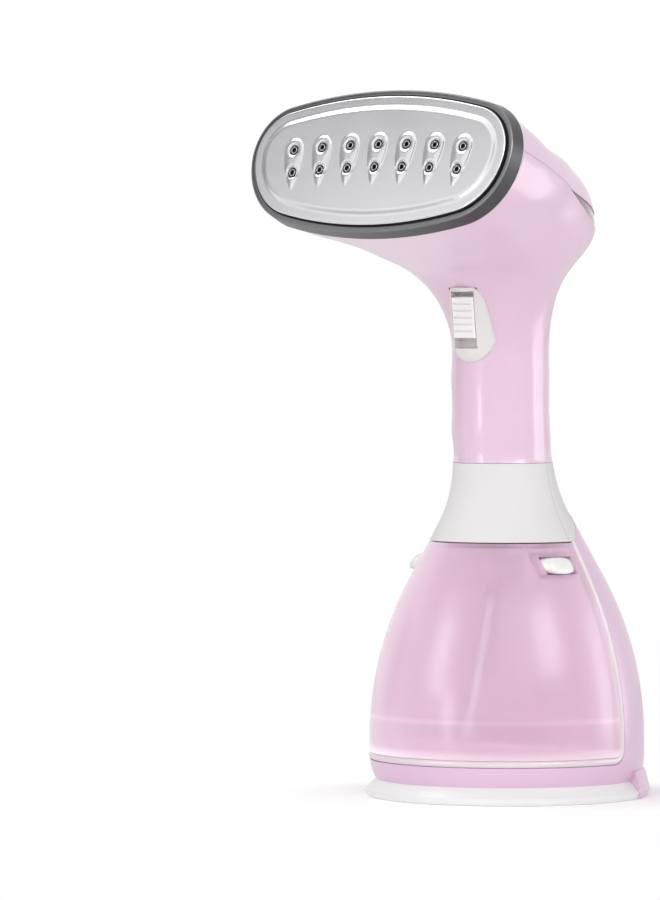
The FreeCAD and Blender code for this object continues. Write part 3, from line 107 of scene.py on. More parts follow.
def floor_finish():
    """Pale matt floor that takes the steamer's shadow, and goes over to plain white further out."""
    material, add = new_finish("studio_floor")
    matt = add("ShaderNodeBsdfDiffuse", {"Color": floor_pale})
    glow = add("ShaderNodeEmission", {"Strength": floor_glow})
    near = add("ShaderNodeAddShader", {0: matt.outputs[0], 1: glow.outputs[0]})
    plain = add("ShaderNodeEmission", {"Color": white, "Strength": 1.0})
    place = add("ShaderNodeTexCoord").outputs["Object"]
    reach = add("ShaderNodeVectorMath", {0: place}, operation="LENGTH").outputs["Value"]
    fade = add("ShaderNodeMapRange", {"Value": reach, "From Min": shadow_reach,
                                      "From Max": shadow_end}, interpolation_type="SMOOTHSTEP")
    camera_ray = add("ShaderNodeLightPath").outputs["Is Camera Ray"]
    seen = add("ShaderNodeMath", {0: fade.outputs["Result"], 1: camera_ray}, operation="MULTIPLY")
    mix = add("ShaderNodeMixShader", {0: seen.outputs[0], 1: near.outputs[0], 2: plain.outputs[0]})
    add("ShaderNodeOutputMaterial", {"Surface": mix.outputs[0]})
    return material


def studio_world():
    """Soft room, brighter in front, seen as white by the camera and by gloss and glass."""
    world = bpy.data.worlds.new("studio_room")
    world.use_nodes = True
    world.node_tree.nodes.clear()
    add = node_call(world.node_tree)
    front = (math.sin(camera_turn), -math.cos(camera_turn), 0)
    around = add("ShaderNodeTexCoord").outputs["Generated"]
    facing = add("ShaderNodeVectorMath", {0: around, 1: front}, operation="DOT_PRODUCT")
    level = add("ShaderNodeMapRange", {"Value": facing.outputs["Value"], "From Min": -1.0,
                                       "To Min": room_behind, "To Max": room_in_front})
    room = add("ShaderNodeBackground", {"Color": white, "Strength": level.outputs["Result"]})
    plain = add("ShaderNodeBackground", {"Color": white, "Strength": 1.0})
    ray = add("ShaderNodeLightPath")
    seen = ray.outputs["Is Camera Ray"]
    for kind in ("Is Transmission Ray", "Is Glossy Ray"):
        either = add("ShaderNodeMath", {0: seen, 1: ray.outputs[kind]}, operation="MAXIMUM")
        seen = either.outputs[0]
    mix = add("ShaderNodeMixShader", {0: seen, 1: room.outputs[0], 2: plain.outputs[0]})
    add("ShaderNodeOutputWorld", {"Surface": mix.outputs[0]})
    bpy.context.scene.world = world


def set_round(thing, middle, turn, rise, reach):
    """Put a lamp or a card round the steamer so that it faces a point. Its turn from the front
    towards the right and its rise are in degrees."""
    turn, rise = math.radians(turn), math.radians(rise)
    out = Vector((math.sin(turn) * math.cos(rise), -math.cos(turn) * math.cos(rise),
                  math.sin(rise)))
    thing.location = Vector(middle) + out * reach
    thing.rotation_euler = (-out).to_track_quat("-Z", "Y").to_euler()


def soft_lamp(name, turn, rise, reach, wide, tall, brightness, only_gloss=False):
    """A soft lamp that faces the steamer's middle. One that only gloss sees draws a highlight and
    lights nothing."""
    data = bpy.data.lights.new(name, "AREA")
    data.shape = "RECTANGLE"
    data.size, data.size_y = wide, tall
    data.energy = brightness * math.pi * wide * tall
    lamp = new_object(name, data)
    set_round(lamp, lamp_aim, turn, rise, reach)
    lamp.visible_diffuse = not only_gloss


def card(name, turn, rise, reach, wide, tall, shade, middle):
    """A flat card that only gloss and polished metal see, to give them something darker to show."""
    mesh = flat_mesh(name, wide, tall)
    flag = new_object(name, mesh)
    set_round(flag, middle, turn, rise, reach)
    material, add = new_finish(name)
    glow = add("ShaderNodeEmission", {"Color": (shade, shade, shade, 1)})
    add("ShaderNodeOutputMaterial", {"Surface": glow.outputs[0]})
    mesh.materials.append(material)
    flag.visible_camera = flag.visible_diffuse = flag.visible_transmission = False
    flag.visible_shadow = flag.visible_volume_scatter = False


camera = new_object("studio_camera", bpy.data.cameras.new("studio_camera"))
camera.location = (camera_reach * math.sin(camera_turn), -camera_reach * math.cos(camera_turn),
                   camera_height)
camera.rotation_euler = (camera_target - camera.location).to_track_quat("-Z", "Y").to_euler()
camera.data.sensor_width = 36.0
camera.data.lens = 228.7
camera.data.clip_end = 50.0
bpy.context.scene.camera = camera
bpy.context.scene.view_settings.view_transform = "Standard"

floor = new_object("studio_floor", flat_mesh("studio_floor", floor_side, floor_side))
floor.location.z = -floor_drop
floor.data.materials.append(floor_finish())

studio_world()

# Turn, rise, distance, width, height and brightness.
soft_lamp("front_lamp", 34, 32, 2.1, 2.2, 2.0, 1.42)
soft_lamp("key_lamp", -66, 52, 1.7, 0.7, 0.6, 3.2)
soft_lamp("left_strip", -14, -8, 1.7, 0.26, 1.1, 7.5, only_gloss=True)
soft_lamp("right_strip", 126, 0, 1.6, 0.3, 1.0, 2.1)
soft_lamp("side_lamp", 136, -2.6, 0.425, 0.26, 0.27, 2.1, only_gloss=True)
soft_lamp("low_left_lamp", -28, 19, 1.7, 0.5, 0.7, 8.5, only_gloss=True)
soft_lamp("low_right_lamp", 78, 27, 1.7, 0.7, 0.7, 6.5, only_gloss=True)

# Turn, rise, distance, width, height, shade and the point that it faces.
card("low_card", -30, -7, 0.4, 0.26, 0.13, 0.3, plate_middle)
card("top_card", -52, 35, 0.4, 0.42, 0.09, 0.15, plate_middle)
card("pale_card", -28, 17, 0.4, 0.32, 0.24, 0.8, plate_middle)
card("right_card", 16, 28, 0.9, 0.4, 0.6, 0.12, plate_middle)
card("grey_card", -66, 20, 0.4, 0.28, 0.2, 0.3, plate_middle)
card("side_card", -77, 7, 1.2, 0.55, 0.42, 0.35, bell_middle)

# ---- Foot: a flared white ring that the steamer stands on, moulded in one piece and clipped round
# the base, with a flat cover let into its underside on four small screws.

# Plastic: how close its colour drift and its grain lie, and how far its gloss drifts.
drift_scale, grain_scale, gloss_drift = 22.0, 1400.0, 0.04
plastic_ior, plastic_coat_roughness = 1.5, 0.1
fine_relief = 0.1 * mm


def shades(colour, drift):
    """A colour a little deeper, and a little lighter."""
    deep = [c * (1 - drift) for c in colour]
    light = [min(1.0, c * (1 + drift)) for c in colour]
    return (*deep, 1), (*light, 1)


def tint(add, factor, deep, light):
    """A colour that goes from deep to light with a factor."""
    mix = add("ShaderNodeMix", {"Factor": factor, "A": deep, "B": light}, data_type="RGBA")
    return mix.outputs["Result"]


def between(add, factor, low, high):
    """A factor stretched to run from low to high."""
    reach = add("ShaderNodeMapRange", {"Value": factor, "To Min": low, "To Max": high})
    return reach.outputs["Result"]


def swung(add, factor, value, drift):
    """A value that drifts a little up and down with a factor."""
    return between(add, factor, value * (1 - drift), value * (1 + drift))


def noise(add, place, scale, detail=2.0):
    """Cloudy noise over a surface."""
    clouds = add("ShaderNodeTexNoise", {"Vector": place, "Scale": scale, "Detail": detail})
    return clouds.outputs["Fac"]


def relief(add, height, strength, depth=fine_relief):
    """A fine relief in a surface."""
    bump = add("ShaderNodeBump", {"Height": height, "Strength": strength, "Distance": depth})
    return bump.outputs["Normal"]


def skinned(material, add, inputs):
    """A material with its shader, given these inputs."""
    skin = add("ShaderNodeBsdfPrincipled", inputs)
    add("ShaderNodeOutputMaterial", {"Surface": skin.outputs[0]})
    return material


def moulded(name, colour, roughness=0.3, coat=0.2, mottle=0.008, grain=0.03, shine=0.5):
    """Injection-moulded plastic: a faint drift in its colour and gloss, and a very fine grain."""
    material, add = new_finish(name)
    place = add("ShaderNodeTexCoord").outputs["Object"]
    drift = noise(add, place, drift_scale, 3.0)
    return skinned(material, add, {
        "Base Color": tint(add, drift, *shades(colour, mottle)),
        "Roughness": swung(add, drift, roughness, gloss_drift),
        "Normal": relief(add, noise(add, place, grain_scale), grain), "IOR": plastic_ior,
        "Coat Weight": coat, "Coat Roughness": plastic_coat_roughness, "Specular IOR Level": shine})


def metal(name, colour, roughness, swing, scale, stretch=(1, 1, 1), depth=0.05, grain=0.1):
    """Bare or painted metal: tone, polish and a fine relief that follow one stretched noise."""
    material, add = new_finish(name)
    place = add("ShaderNodeTexCoord").outputs["Object"]
    pull = add("ShaderNodeMapping", {"Vector": place, "Scale": stretch}).outputs["Vector"]
    streaks = noise(add, pull, scale, 6.0)
    return skinned(material, add, {
        "Base Color": tint(add, streaks, *shades(colour, grain)),
        "Roughness": between(add, streaks, max(0.02, roughness - swing), roughness + swing),
        "Normal": relief(add, streaks, depth), "Metallic": 1.0})


def dress(material, *nodes):
    """Give CAD nodes a finish."""
    for name in nodes:
        slots = frame["nodes"][name].data.materials
        slots.clear()
        slots.append(material)


dress(moulded("foot_white", (0.83, 0.83, 0.83), roughness=0.32), "foot_ring", "base_plate")
screw_steel = metal("screw_steel", (0.55, 0.55, 0.56), roughness=0.35, swing=0.1, scale=700,
                    stretch=(1, 1, 0.2))
dress(screw_steel, "base_screws", "heater_screws")

# ---- Rear housing: the pink band round the base, the rear of the bell with its sloping spine and
# the heel, moulded in one piece. The soft mauve gland that grips the cord is let into it low at
# the back.

dress(moulded("spine_pink", (0.755, 0.525, 0.70), roughness=0.3, coat=0.25), "rear_housing")
dress(moulded("gland_rubber", (0.58, 0.42, 0.52), roughness=0.6, coat=0.0, grain=0.3), "cord_inlet")

# ---- Chassis: the frame that carries pump, tank seat and handle stem, moulded in a pale pink that
# shows through the tank, and the pale bead that trims the edge of the tank bay.

dress(moulded("frame_white", (0.97, 0.79, 0.90), roughness=0.45, coat=0.0), "chassis")
dress(moulded("bead_white", (0.77, 0.67, 0.72), roughness=0.25), "tank_bead")

# ---- Water tank: a bell of clear pink plastic, lightly frosted by its mould. Painted light and a
# painted glow lie over its lower edge, where shade falls, and faintly in a line a little higher up.
# The pump draws through a valve block, a clear tube and a strainer inside it.

# Clear plastic: how close its frosting and its grain lie, how far its haze drifts, and how much
# more solid it looks edge on.
frost_scale, frost_grain_scale, frost_grain, haze_drift = 16.0, 900.0, 0.03, 0.2
edge_solid, clear_ior, clear_coat_roughness = 0.7, 1.45, 0.2
# Painted light: the paler colour and the glow painted on at given levels, and the glow's strength.
painted_pale, painted_glow_colour, painted_glow_strength = (1.0, 0.95, 0.98, 1), (1.0, 0.8, 0.92, 1), 0.35
black = (0, 0, 0, 1)
# Heights over the floor, and how much painted light the tank gets there: a paler colour and a
# painted glow, strong over its lower edge where shade falls, and faint in a line higher up.
tank_painted_levels = ((0.0150, 0.9), (0.0185, 0.7), (0.0225, 0.0), (0.0312, 0.0), (0.0332, 0.22),
               (0.035, 0.0), (0.1, 0.0))
levels_top = 0.12


def painted_light_bands(add, place, levels):
    """A factor for how much painted light a wall gets at each height."""
    height = add("ShaderNodeSeparateXYZ", {0: place}).outputs["Z"]
    share = add("ShaderNodeMapRange", {"Value": height, "From Max": levels_top}).outputs["Result"]
    bands = add("ShaderNodeValToRGB", {"Fac": share})
    bands.color_ramp.interpolation = "EASE"
    ramp = bands.color_ramp.elements
    while len(ramp) < len(levels):
        ramp.new(0.5)
    for stop, (at, shade) in zip(ramp, levels):
        stop.position = at / levels_top
        stop.color = (shade, shade, shade, 1)
    return bands.outputs["Color"]


def clear_plastic(name, colour, solid, roughness, levels=()):
    """See-through plastic: part of the light goes straight through, the rest is scattered in its
    colour, most where the wall is seen edge on. At the given levels it gets painted light: a paler
    colour and a painted glow."""
    material, add = new_finish(name)
    place = add("ShaderNodeTexCoord").outputs["Object"]
    frost = noise(add, place, frost_scale, 4.0)
    edge = add("ShaderNodeLayerWeight", {"Blend": 0.5}).outputs["Facing"]
    inputs = {
        "Base Color": tint(add, frost, *shades(colour, 0.02)),
        "Alpha": between(add, edge, solid, min(1.0, solid + edge_solid)),
        "Roughness": swung(add, frost, roughness, haze_drift),
        "Normal": relief(add, noise(add, place, frost_grain_scale), frost_grain),
        "IOR": clear_ior, "Coat Weight": 1.0, "Coat Roughness": clear_coat_roughness}
    if levels:
        # Painted light: a paler colour and a painted glow at the given levels.
        bands = painted_light_bands(add, place, levels)
        inputs["Base Color"] = tint(add, bands, inputs["Base Color"], painted_pale)
        inputs["Emission Color"] = tint(add, bands, black, painted_glow_colour)
        inputs["Emission Strength"] = painted_glow_strength
    return skinned(material, add, inputs)


tank_pink = clear_plastic("tank_clear_pink", (0.965, 0.69, 0.865), solid=0.31, roughness=0.36,
                          levels=tank_painted_levels)
dress(tank_pink, "water_tank")
dress(moulded("valve_pink", (0.46, 0.16, 0.42), roughness=0.4, coat=0.0), "tank_valve")
dress(clear_plastic("tube_clear", (1.0, 0.93, 0.98), solid=0.75, roughness=0.12), "intake_tube")
strainer_white = moulded("strainer_white", (0.86, 0.78, 0.83), roughness=0.6, coat=0.0, grain=0.5)
dress(strainer_white, "intake_filter")
dress(moulded("plug_silicone", (0.86, 0.74, 0.81), roughness=0.55, coat=0.0), "filler_plug")

# ---- Release buttons: two white moulded thumb pads that ride in pockets in the tank's flanks, one
# on each side. Pressed in, they free the tank's hooks, and springs push them out again.

button_white = moulded("button_white", (0.90, 0.90, 0.88), roughness=0.28)
tank_flank = math.radians(28.5)
# The pad's rings: how many, the points in each, how small the middle one is, and how the others
# crowd towards the rim. Then how square the pad's ends are, and how far its edge and crown fall.
button_rings, button_steps = 14, 64
button_middle, button_crowding = 0.02, 0.6
button_squareness = 2.8
button_edge_fall, button_crown = 0.9 * mm, 0.25 * mm


def new_piece(name, points, faces, material, body, node, slot, place=None):
    """A smooth mesh piece that rides on a body and stands for a CAD node."""
    mesh = bpy.data.meshes.new(name)
    if place:
        points = [place @ Vector(point) for point in points]
    mesh.from_pydata([tuple(point) for point in points], [], faces)
    mesh.validate()
    piece = new_object(name, mesh)
    mesh.materials.append(material)
    mesh.shade_smooth()
    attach(piece, body)
    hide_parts(node)
    return piece


def joined_rings(rings, steps, start=0):
    """Faces that join rings of points, one after the other, and close round each ring."""
    faces = []
    for ring in range(rings - 1):
        low, high = start + ring * steps, start + (ring + 1) * steps
        faces += [(low + i, low + (i + 1) % steps, high + (i + 1) % steps, high + i)
                  for i in range(steps)]
    return faces


def thumb_pad(node, body, hand):
    """A pad with round ends and a crowned face that slants with the tank's side."""
    low, high = (Vector(corner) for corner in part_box(node))
    middle, half = (low + high) / 2, (high - low) / 2
    root = low.x if hand > 0 else high.x
    points = []
    for ring in range(button_rings + 1):
        share = (ring / button_rings) ** button_crowding if ring else button_middle
        sunk = button_edge_fall * share ** 6 + button_crown * share ** 2
        for step in range(button_steps):
            turn = math.tau * step / button_steps
            across, up = math.cos(turn), math.sin(turn)
            size = share / (abs(across) ** button_squareness
                            + abs(up) ** button_squareness) ** (1 / button_squareness)
            face = hand * (half.x * 2 - math.tan(tank_flank) * (half.z + up * size * half.z))
            points.append((root + face - hand * sunk, middle.y + across * size * half.y,
                           middle.z + up * size * half.z))
    points += [(root, y, z) for x, y, z in points[-button_steps:]]
    faces = joined_rings(button_rings + 2, button_steps)
    faces.append(tuple(range(button_steps)))
    new_piece(f"{body}_pad", points, faces, button_white, body, node, "white_plastic")


thumb_pad("latch_button_left", "button_left", -1)
thumb_pad("latch_button_right", "button_right", 1)

# ---- Collar: the white flared ring between bell and handle, moulded in one piece and slipped over
# the neck. A thin line of painted shade runs down each side, along its middle plane.

painted_shade_line = {"point": (0, 0, 0), "axis": (0, 1, 0), "start": 0.7 * mm, "end": 0.1 * mm}


def toned(material, colour, point, axis, start, end, both=False):
    """Another colour over a surface, from one distance to the next along an axis from a point, or
    on both sides of the point."""
    tree = material.node_tree
    add = node_call(tree)
    place = add("ShaderNodeTexCoord").outputs["Object"]
    away = add("ShaderNodeVectorMath", {0: place, 1: point}, operation="SUBTRACT").outputs[0]
    along = add("ShaderNodeVectorMath", {0: away, 1: axis}, operation="DOT_PRODUCT")
    level = along.outputs["Value"]
    if both:
        level = add("ShaderNodeMath", {0: level}, operation="ABSOLUTE").outputs[0]
    share = add("ShaderNodeMapRange", {"Value": level, "From Min": start, "From Max": end})
    skin = next(found for found in tree.nodes if found.type == "BSDF_PRINCIPLED")
    ground = skin.inputs["Base Color"].links[0].from_socket
    over = tint(add, share.outputs["Result"], ground, (*colour, 1))
    tree.links.new(over, skin.inputs["Base Color"])


collar_white = moulded("collar_white", (0.765, 0.755, 0.76), roughness=0.6, coat=0.0, shine=0.15)
dress(collar_white, "collar")
# Painted shade: a thin darker line down each side of the collar.
toned(collar_white, (0.68, 0.67, 0.675), both=True, **painted_shade_line)

# ---- Handle and head: two gloss pink mouldings that meet on a seam each side of the head, and a
# smoked window let in at the back where the ready light shines through.

seam_point, seam_out = (0, -33.9 * mm, 248.2 * mm), (0, 0.315, 0.949)
dress(moulded("handle_pink", (0.785, 0.56, 0.705), roughness=0.3, coat=0.5), "body_shell")
cover_pink = moulded("cover_pink", (0.82, 0.60, 0.745), roughness=0.3, coat=0.4)
dress(cover_pink, "top_cover")
# Painted shade: a darker band along the top cover's edge at the seam, where shade falls in the
# join.
toned(cover_pink, (0.46, 0.30, 0.38), seam_point, seam_out, start=0.55 * mm, end=0.25 * mm)
dress(clear_plastic("window_smoked", (0.22, 0.09, 0.14), solid=0.88, roughness=0.1), "light_window")

# ---- Steam switch: an off-white moulded pod, clipped through the front of the handle, with a
# ribbed thumb slide in its pocket. The slide's stem works a black micro switch behind it.

dress(moulded("pod_white", (0.80, 0.77, 0.765), roughness=0.4, coat=0.0, shine=0.3), "switch_bezel")
dress(moulded("slide_white", (0.93, 0.92, 0.91), roughness=0.4, coat=0.0), "steam_slider")
switch_black = moulded("switch_black", (0.05, 0.05, 0.055), roughness=0.5, coat=0.0, grain=0.2)
dress(switch_black, "micro_switch")

# ---- Bezel and gasket: a dark metallic-lacquered ring with a stepped brim round the steam plate,
# and the black silicone seal pressed in between the two.

rim = next(mount for mount in frame["record"]["mounts"] if mount["name"] == "attachment_rim")
bezel_lacquer = metal("bezel_lacquer", (0.095, 0.095, 0.101), roughness=0.33, swing=0.04, scale=900,
                      depth=0.04)
dress(bezel_lacquer, "head_bezel")
# Painted light: the brim and its recess are coloured lighter than the side, standing in for light
# on the front face and against the shade in the recess.
toned(bezel_lacquer, (0.22, 0.22, 0.23), rim["pos_m"], rim["axis"], start=-0.62 * mm, end=-0.5 * mm)
gasket_black = moulded("gasket_black", (0.01, 0.01, 0.011), roughness=0.8, coat=0.0, grain=0.2,
                       shine=0.1)
dress(gasket_black, "plate_gasket")

# ---- Steam plate: one sheet of steel, pressed with a raised pad and seven raised drops. Each drop
# has two polished dishes, and each dish a steam hole. Its edge is rolled back into the seal.

# Sizes in millimetres, in the head's own frame.
plate_half_length, plate_half_width = 62.9, 27.0
plate_turn, plate_shoulder = math.radians(76.4), 3.0
flange_level, pad_level, edge_level = 1.1, 1.7, -0.6
step_start, step_end, step_rings, field_edge = 3.5, 6.2, 8, 6.7
hole_pitch, upper_row, lower_row, row_arch, lower_fan = 14.27, 6.4, -3.1, 1.62, 0.975
hole_radius, hole_margin, hole_floor = 2.25, 0.2, 0.6
dish_radius, dish_depth, dish_lip = 3.5, 0.5, 0.5
drop_radius, drop_length, drop_height, crown_rise = 4.7, 22.0, 0.6, 0.4
drop_bevel, drop_swell, drop_reach = (-0.15, 0.75), (0.0, 3.0), 9
outline_steps, outline_samples, hole_steps = 420, 20000, 40
# The rolled edge: how far in from the outline, and how high.
rolled_edge = [(2.5, edge_level), (0.0, edge_level), (0.0, 0.62), (0.06, 0.85), (0.22, 1.02),
               (0.5, 1.09), (0.9, flange_level), (2.9, flange_level)]
# The field of triangles: fine over the drops, coarse on the rest of the pad. Its rows lie a hair
# closer than its pitch, so that no four points share a circle.
fine_pitch, fine_x, fine_low, fine_high = 0.42, 49, -14.5, 13
coarse_pitch, coarse_x, coarse_y, coarse_edge = 2.2, 62, 26, 7.6
row_share, same_point = 0.999, 1e-4
# A triangle is left out where its middle lies in a hole, inside this radius.
open_radius = hole_radius * 0.99
# Turns to try round a first guess when a point is held against the outline.
guess_squeeze, guess_shifts = 0.3, (-0.9, -0.6, -0.4, -0.2, -0.1, 0, 0.1, 0.2, 0.4, 0.6, 0.9)


def head_place():
    """Frame of the head: X to the right, Y up the plate's face, Z out of it."""
    out = Vector(rim["axis"]).normalized()
    right = Vector((1, 0, 0))
    turn = Matrix((right, out.cross(right), out)).transposed().to_4x4()
    return Matrix.Translation(rim["pos_m"]) @ turn @ Matrix.Scale(mm, 4)


def outline_point(turn, inset):
    """A point of the plate's outline whose normal has this turn: blunt ends, and long flat arcs
    between them."""
    half_length, half_width = plate_half_length - inset, plate_half_width - inset
    side = 1 if math.sin(turn) >= 0 else -1
    hand = 1 if math.cos(turn) >= 0 else -1
    share = math.tan(math.pi / 4 - plate_turn / 2)
    tall = half_width - side * plate_shoulder
    radius = (tall - share * half_length) / (1 - share)
    centre = Vector((hand * (half_length - radius), plate_shoulder))
    if math.atan2(abs(math.sin(turn)), abs(math.cos(turn))) > plate_turn:
        meet_x = half_length - radius + radius * math.cos(plate_turn)
        radius = meet_x / math.cos(plate_turn)
        centre = Vector((0, side * (half_width - radius)))
    return centre + radius * Vector((math.cos(turn), math.sin(turn)))


def even_turns(count):
    """Turns of the outline's normal at even steps along it."""
    turns = [math.tau * i / outline_samples for i in range(outline_samples + 1)]
    points = [outline_point(turn, 0) for turn in turns]
    run = [0.0]
    for here, after in zip(points, points[1:]):
        run.append(run[-1] + (after - here).length)
    found, at = [], 0
    for i in range(count):
        while run[at] < run[-1] * i / count:
            at += 1
        found.append(turns[at])
    return found


def steam_holes():
    """Seven columns of two steam holes, as pairs of upper and lower hole."""
    columns = []
    for column in range(-3, 4):
        sag = row_arch * (column / 3) ** 2
        x = column * hole_pitch
        columns.append((Vector((x, upper_row - sag)), Vector((lower_fan * x, lower_row - sag))))
    return columns


def soft_step(value, low, high):
    """0 below low, 1 above high, smooth between."""
    share = min(max((value - low) / (high - low), 0.0), 1.0)
    return share * share * (3 - 2 * share)


def inside_drop(point, upper, lower):
    """How far a point lies inside a drop's outline: a round crown, then two bowed sides."""
    along = (lower - upper).normalized()
    crown = upper - along * crown_rise
    run = (point - crown).dot(along)
    off = abs((point - crown).dot(Vector((-along.y, along.x))))
    if run < 0:
        return drop_radius - math.hypot(run, off)
    length = drop_length - drop_radius
    bow = (length ** 2 + drop_radius ** 2) / (2 * drop_radius)
    return bow - math.hypot(run, off + bow - drop_radius)


def pressed_height(point, columns):
    """Height of the pressed sheet over the head's datum."""
    height = pad_level
    for upper, lower in columns:
        if abs(point.x - upper.x) > drop_reach:
            continue
        inside = inside_drop(point, upper, lower)
        rise = soft_step(inside, *drop_bevel) + soft_step(inside, *drop_swell)
        height += drop_height * rise / 2
        for hole in (upper, lower):
            away = (point - hole).length
            height -= dish_depth * (1 - soft_step(away, hole_radius - dish_lip, dish_radius))
    return height


def turned(profile, centre, steps):
    """Rings of points of a profile turned round an upright axis."""
    return [(centre.x + radius * math.cos(math.tau * i / steps),
             centre.y + radius * math.sin(math.tau * i / steps), level)
            for radius, level in profile for i in range(steps)]


def lattice(pitch, reach_x, low_y, high_y, keep):
    """Points of a triangle lattice that are worth keeping."""
    found = []
    for row in range(int((high_y - low_y) / pitch) + 1):
        for at in range(int(2 * reach_x / pitch) + 1):
            spot = Vector((-reach_x + (at + 0.5 * (row % 2)) * pitch,
                           low_y + row * pitch * row_share))
            if keep(spot):
                found.append(spot)
    return found


def plain_pad(spot):
    """Whether a point lies on the pad, well inside its edge, and away from the drops."""
    if abs(spot.x) < fine_x and fine_low < spot.y < fine_high:
        return False
    guess = math.atan2(spot.y - plate_shoulder, spot.x * guess_squeeze)
    for shift in guess_shifts:
        turn = guess + shift
        normal = Vector((math.cos(turn), math.sin(turn)))
        if (spot - outline_point(turn, coarse_edge)).dot(normal) >= 0:
            return False
    return True


def pressed_field(turns, spots):
    """The pad inside its step: corners and triangles, with a ring of corners round each hole."""

    def off_holes(spot):
        return all((spot - hole).length > hole_radius + hole_margin for hole in spots)

    field = [outline_point(turn, field_edge) for turn in turns]
    edges = [(i, (i + 1) % len(turns)) for i in range(len(turns))]
    for spot in spots:
        start = len(field)
        field += [spot + hole_radius * Vector((math.cos(math.tau * i / hole_steps),
                                               math.sin(math.tau * i / hole_steps)))
                  for i in range(hole_steps)]
        edges += [(start + i, start + (i + 1) % hole_steps) for i in range(hole_steps)]
    field += lattice(fine_pitch, fine_x, fine_low, fine_high, off_holes)
    field += lattice(coarse_pitch, coarse_x, -coarse_y, coarse_y, plain_pad)
    spread = delaunay_2d_cdt(field, edges, [tuple(range(len(turns)))], 1, same_point)
    return spread[0], spread[2]


def pressed_plate():
    """The plate's mesh: rings from the rolled edge over the step, then a field of triangles."""
    turns = even_turns(outline_steps)
    rings = list(rolled_edge)
    for i in range(step_rings + 1):
        share = i / step_rings
        rings.append((step_start + (step_end - step_start) * share,
                      flange_level + (pad_level - flange_level) * soft_step(share, 0, 1)))
    rings.append((field_edge, pad_level))
    points = [(*outline_point(turn, inset), level) for inset, level in rings for turn in turns]
    faces = joined_rings(len(rings), len(turns))
    columns = steam_holes()
    spots = [hole for pair in columns for hole in pair]
    corners, triangles = pressed_field(turns, spots)
    base = len(points)
    points += [(spot.x, spot.y, pressed_height(spot, columns)) for spot in corners]
    for triangle in triangles:
        middle = sum((corners[i] for i in triangle), Vector((0, 0))) / 3
        if all((middle - hole).length > open_radius for hole in spots):
            faces.append(tuple(base + i for i in triangle))
    wall = [(hole_radius, pad_level + drop_height - dish_depth), (hole_radius, hole_floor)]
    for spot in spots:
        faces += joined_rings(len(wall), hole_steps, len(points))
        points += turned(wall, spot, hole_steps)
    return points, faces


plate_steel = metal("plate_steel", (0.765, 0.76, 0.78), roughness=0.26, swing=0.02, scale=240,
                    stretch=(0.25, 1, 1), depth=0.03, grain=0.03)
new_piece("pressed_steam_plate", *pressed_plate(), plate_steel, "body", "steam_plate",
          "steam_steel", head_place())

# ---- Eyelets: fourteen turned steel rivets that line the steam holes, flared over in the dishes.
# The gap round each inner tube, and its bore, are coloured black: partly scale, partly painted
# shade in these hollows.

# Radius and height over the head's datum, in millimetres, from the rim in to the bore's foot.
eyelet_profile = [(2.2, 1.0), (2.22, 1.55), (2.16, 1.68), (2.06, 1.6), (2.0, 1.3), (1.62, 1.3),
                  (1.56, 1.8), (1.46, 1.98), (1.3, 2.05), (1.12, 2.0), (1.0, 1.86), (0.95, 1.5),
                  (0.95, -1.5)]
eyelet_steps = 32
# Profile rings coloured black: the groove round the inner tube and the bore, partly scale and
# partly painted shade.
scale_and_shade_rings = (3, 4, 5, 10, 11)

eyelet_points, eyelet_faces = [], []
for pair in steam_holes():
    for hole in pair:
        eyelet_faces += joined_rings(len(eyelet_profile), eyelet_steps, len(eyelet_points))
        eyelet_points += turned(eyelet_profile, hole, eyelet_steps)
eyelet_steel = metal("eyelet_steel", (0.42, 0.42, 0.44), roughness=0.2, swing=0.05, scale=800)
eyelets = new_piece("turned_eyelets", eyelet_points, eyelet_faces, eyelet_steel, "body",
                    "nozzle_eyelets", "steam_steel", head_place())
# Black for scale, and for painted shade in the grooves and bores.
scale_and_shade_black = moulded("scale_and_shade_black", (0.012, 0.012, 0.012), roughness=0.8, coat=0.0, grain=0.4)
eyelets.data.materials.append(scale_and_shade_black)
for face in eyelets.data.polygons:
    if (face.index // eyelet_steps) % (len(eyelet_profile) - 1) in scale_and_shade_rings:
        face.material_index = 1

# ---- Steam chamber: a cast aluminium block and lid behind the plate, with a sheathed element let
# into its back, and the thermostat and thermal fuse clipped to the lid. A pale insulator keeps it
# off the shell.

cast_aluminium = metal("cast_aluminium", (0.62, 0.62, 0.62), roughness=0.5, swing=0.08, scale=260,
                       depth=0.4)
dress(cast_aluminium, "heater_block", "heater_lid")
element_steel = metal("element_steel", (0.33, 0.32, 0.32), roughness=0.45, swing=0.1, scale=500,
                      depth=0.1)
dress(element_steel, "heating_element")
thermostat_steel = metal("thermostat_steel", (0.66, 0.65, 0.62), roughness=0.3, swing=0.06,
                         scale=600)
dress(thermostat_steel, "thermostat")
fuse_sleeve = moulded("fuse_sleeve", (0.80, 0.78, 0.70), roughness=0.6, coat=0.0, grain=0.4)
dress(fuse_sleeve, "thermal_fuse")
insulator_white = moulded("insulator_white", (0.80, 0.78, 0.73), roughness=0.7, coat=0.0, grain=0.4)
dress(insulator_white, "head_insulator")

# ---- Pump and lines: a small solenoid pump in the base on a soft mount, its coil under amber tape
# and in a laminated iron yoke. Silicone hoses lead from the tank's socket to it and on up to the
# steam chamber.

# Scale of a wave texture that repeats once a metre, and the depth of tape edges and braid.
metre_wave = 0.314
coarse_relief = 0.2 * mm


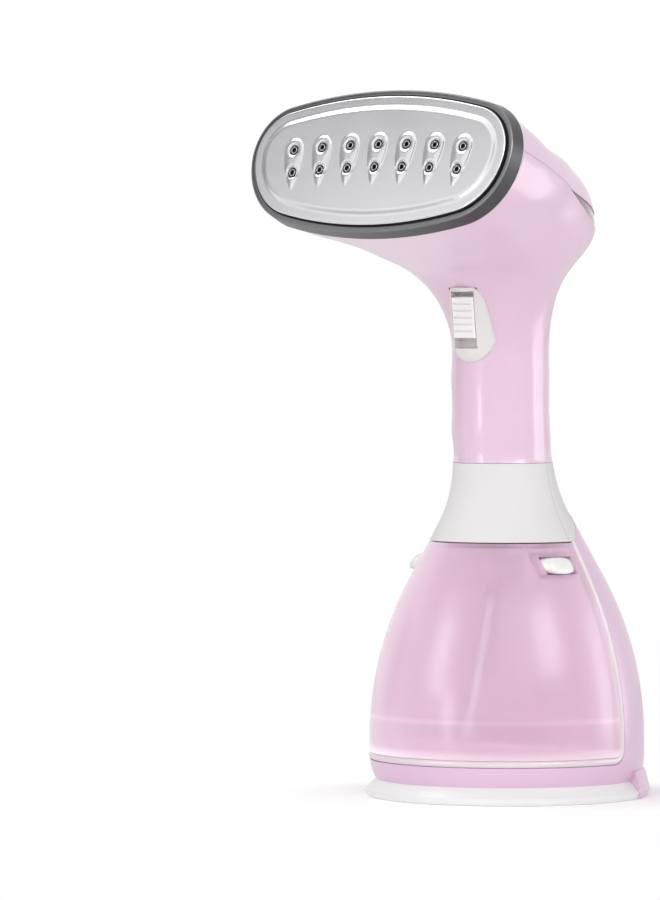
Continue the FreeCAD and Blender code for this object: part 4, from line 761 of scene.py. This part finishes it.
def wound(material, add, waves, colour, dark, roughness, strength):
    """A wound or braided surface, deeper in colour between its turns."""
    return skinned(material, add, {
        "Base Color": tint(add, waves, (*[c * dark for c in colour], 1), (*colour, 1)),
        "Roughness": roughness, "Normal": relief(add, waves, strength, coarse_relief)})


def wound_tape(name, colour, pitch):
    """Tape wound in level turns round an upright coil."""
    material, add = new_finish(name)
    place = add("ShaderNodeTexCoord").outputs["Object"]
    turns = add("ShaderNodeTexWave", {"Vector": place, "Scale": metre_wave / pitch,
                                      "Distortion": 0.6}, bands_direction="Z")
    return wound(material, add, turns.outputs["Fac"], colour, dark=0.7, roughness=0.35,
                 strength=0.5)


iron_yoke = metal("iron_yoke", (0.22, 0.22, 0.23), roughness=0.5, swing=0.1, scale=300,
                  stretch=(1, 1, 14), depth=0.5)
dress(iron_yoke, "pump_yoke")
pump_white = moulded("pump_white", (0.78, 0.78, 0.75), roughness=0.5, coat=0.0, grain=0.2)
dress(pump_white, "pump_body", "valve_socket")
dress(wound_tape("coil_tape", (0.62, 0.34, 0.08), 3.0 * mm), "pump_coil")
mount_silicone = moulded("mount_silicone", (0.30, 0.30, 0.31), roughness=0.65, coat=0.0, grain=0.3)
dress(mount_silicone, "pump_mount")
hose_silicone = clear_plastic("hose_silicone", (0.86, 0.86, 0.83), solid=0.75, roughness=0.4)
dress(hose_silicone, "water_hose_low", "water_hose_high")

# ---- Wires: the leads that run from the gland up to the switch and the heater, in one sleeve
# braided of pale glass fibre that keeps the heat off them.


def braided(name, colour, pitch):
    """Braided sleeving: two fine waves that cross."""
    material, add = new_finish(name)
    place = add("ShaderNodeTexCoord").outputs["Object"]
    waves = []
    for tilt in (-45, 45):
        lean = (math.radians(tilt), 0, math.radians(tilt))
        lay = add("ShaderNodeMapping", {"Vector": place, "Rotation": lean}).outputs["Vector"]
        wave = add("ShaderNodeTexWave", {"Vector": lay, "Scale": metre_wave / pitch})
        waves.append(wave.outputs["Fac"])
    cross = add("ShaderNodeMath", {0: waves[0], 1: waves[1]}, operation="MAXIMUM").outputs[0]
    return wound(material, add, cross, colour, dark=0.6, roughness=0.75, strength=0.6)


dress(braided("wire_sleeving", (0.82, 0.81, 0.76), 0.6 * mm), "wire_bundle")
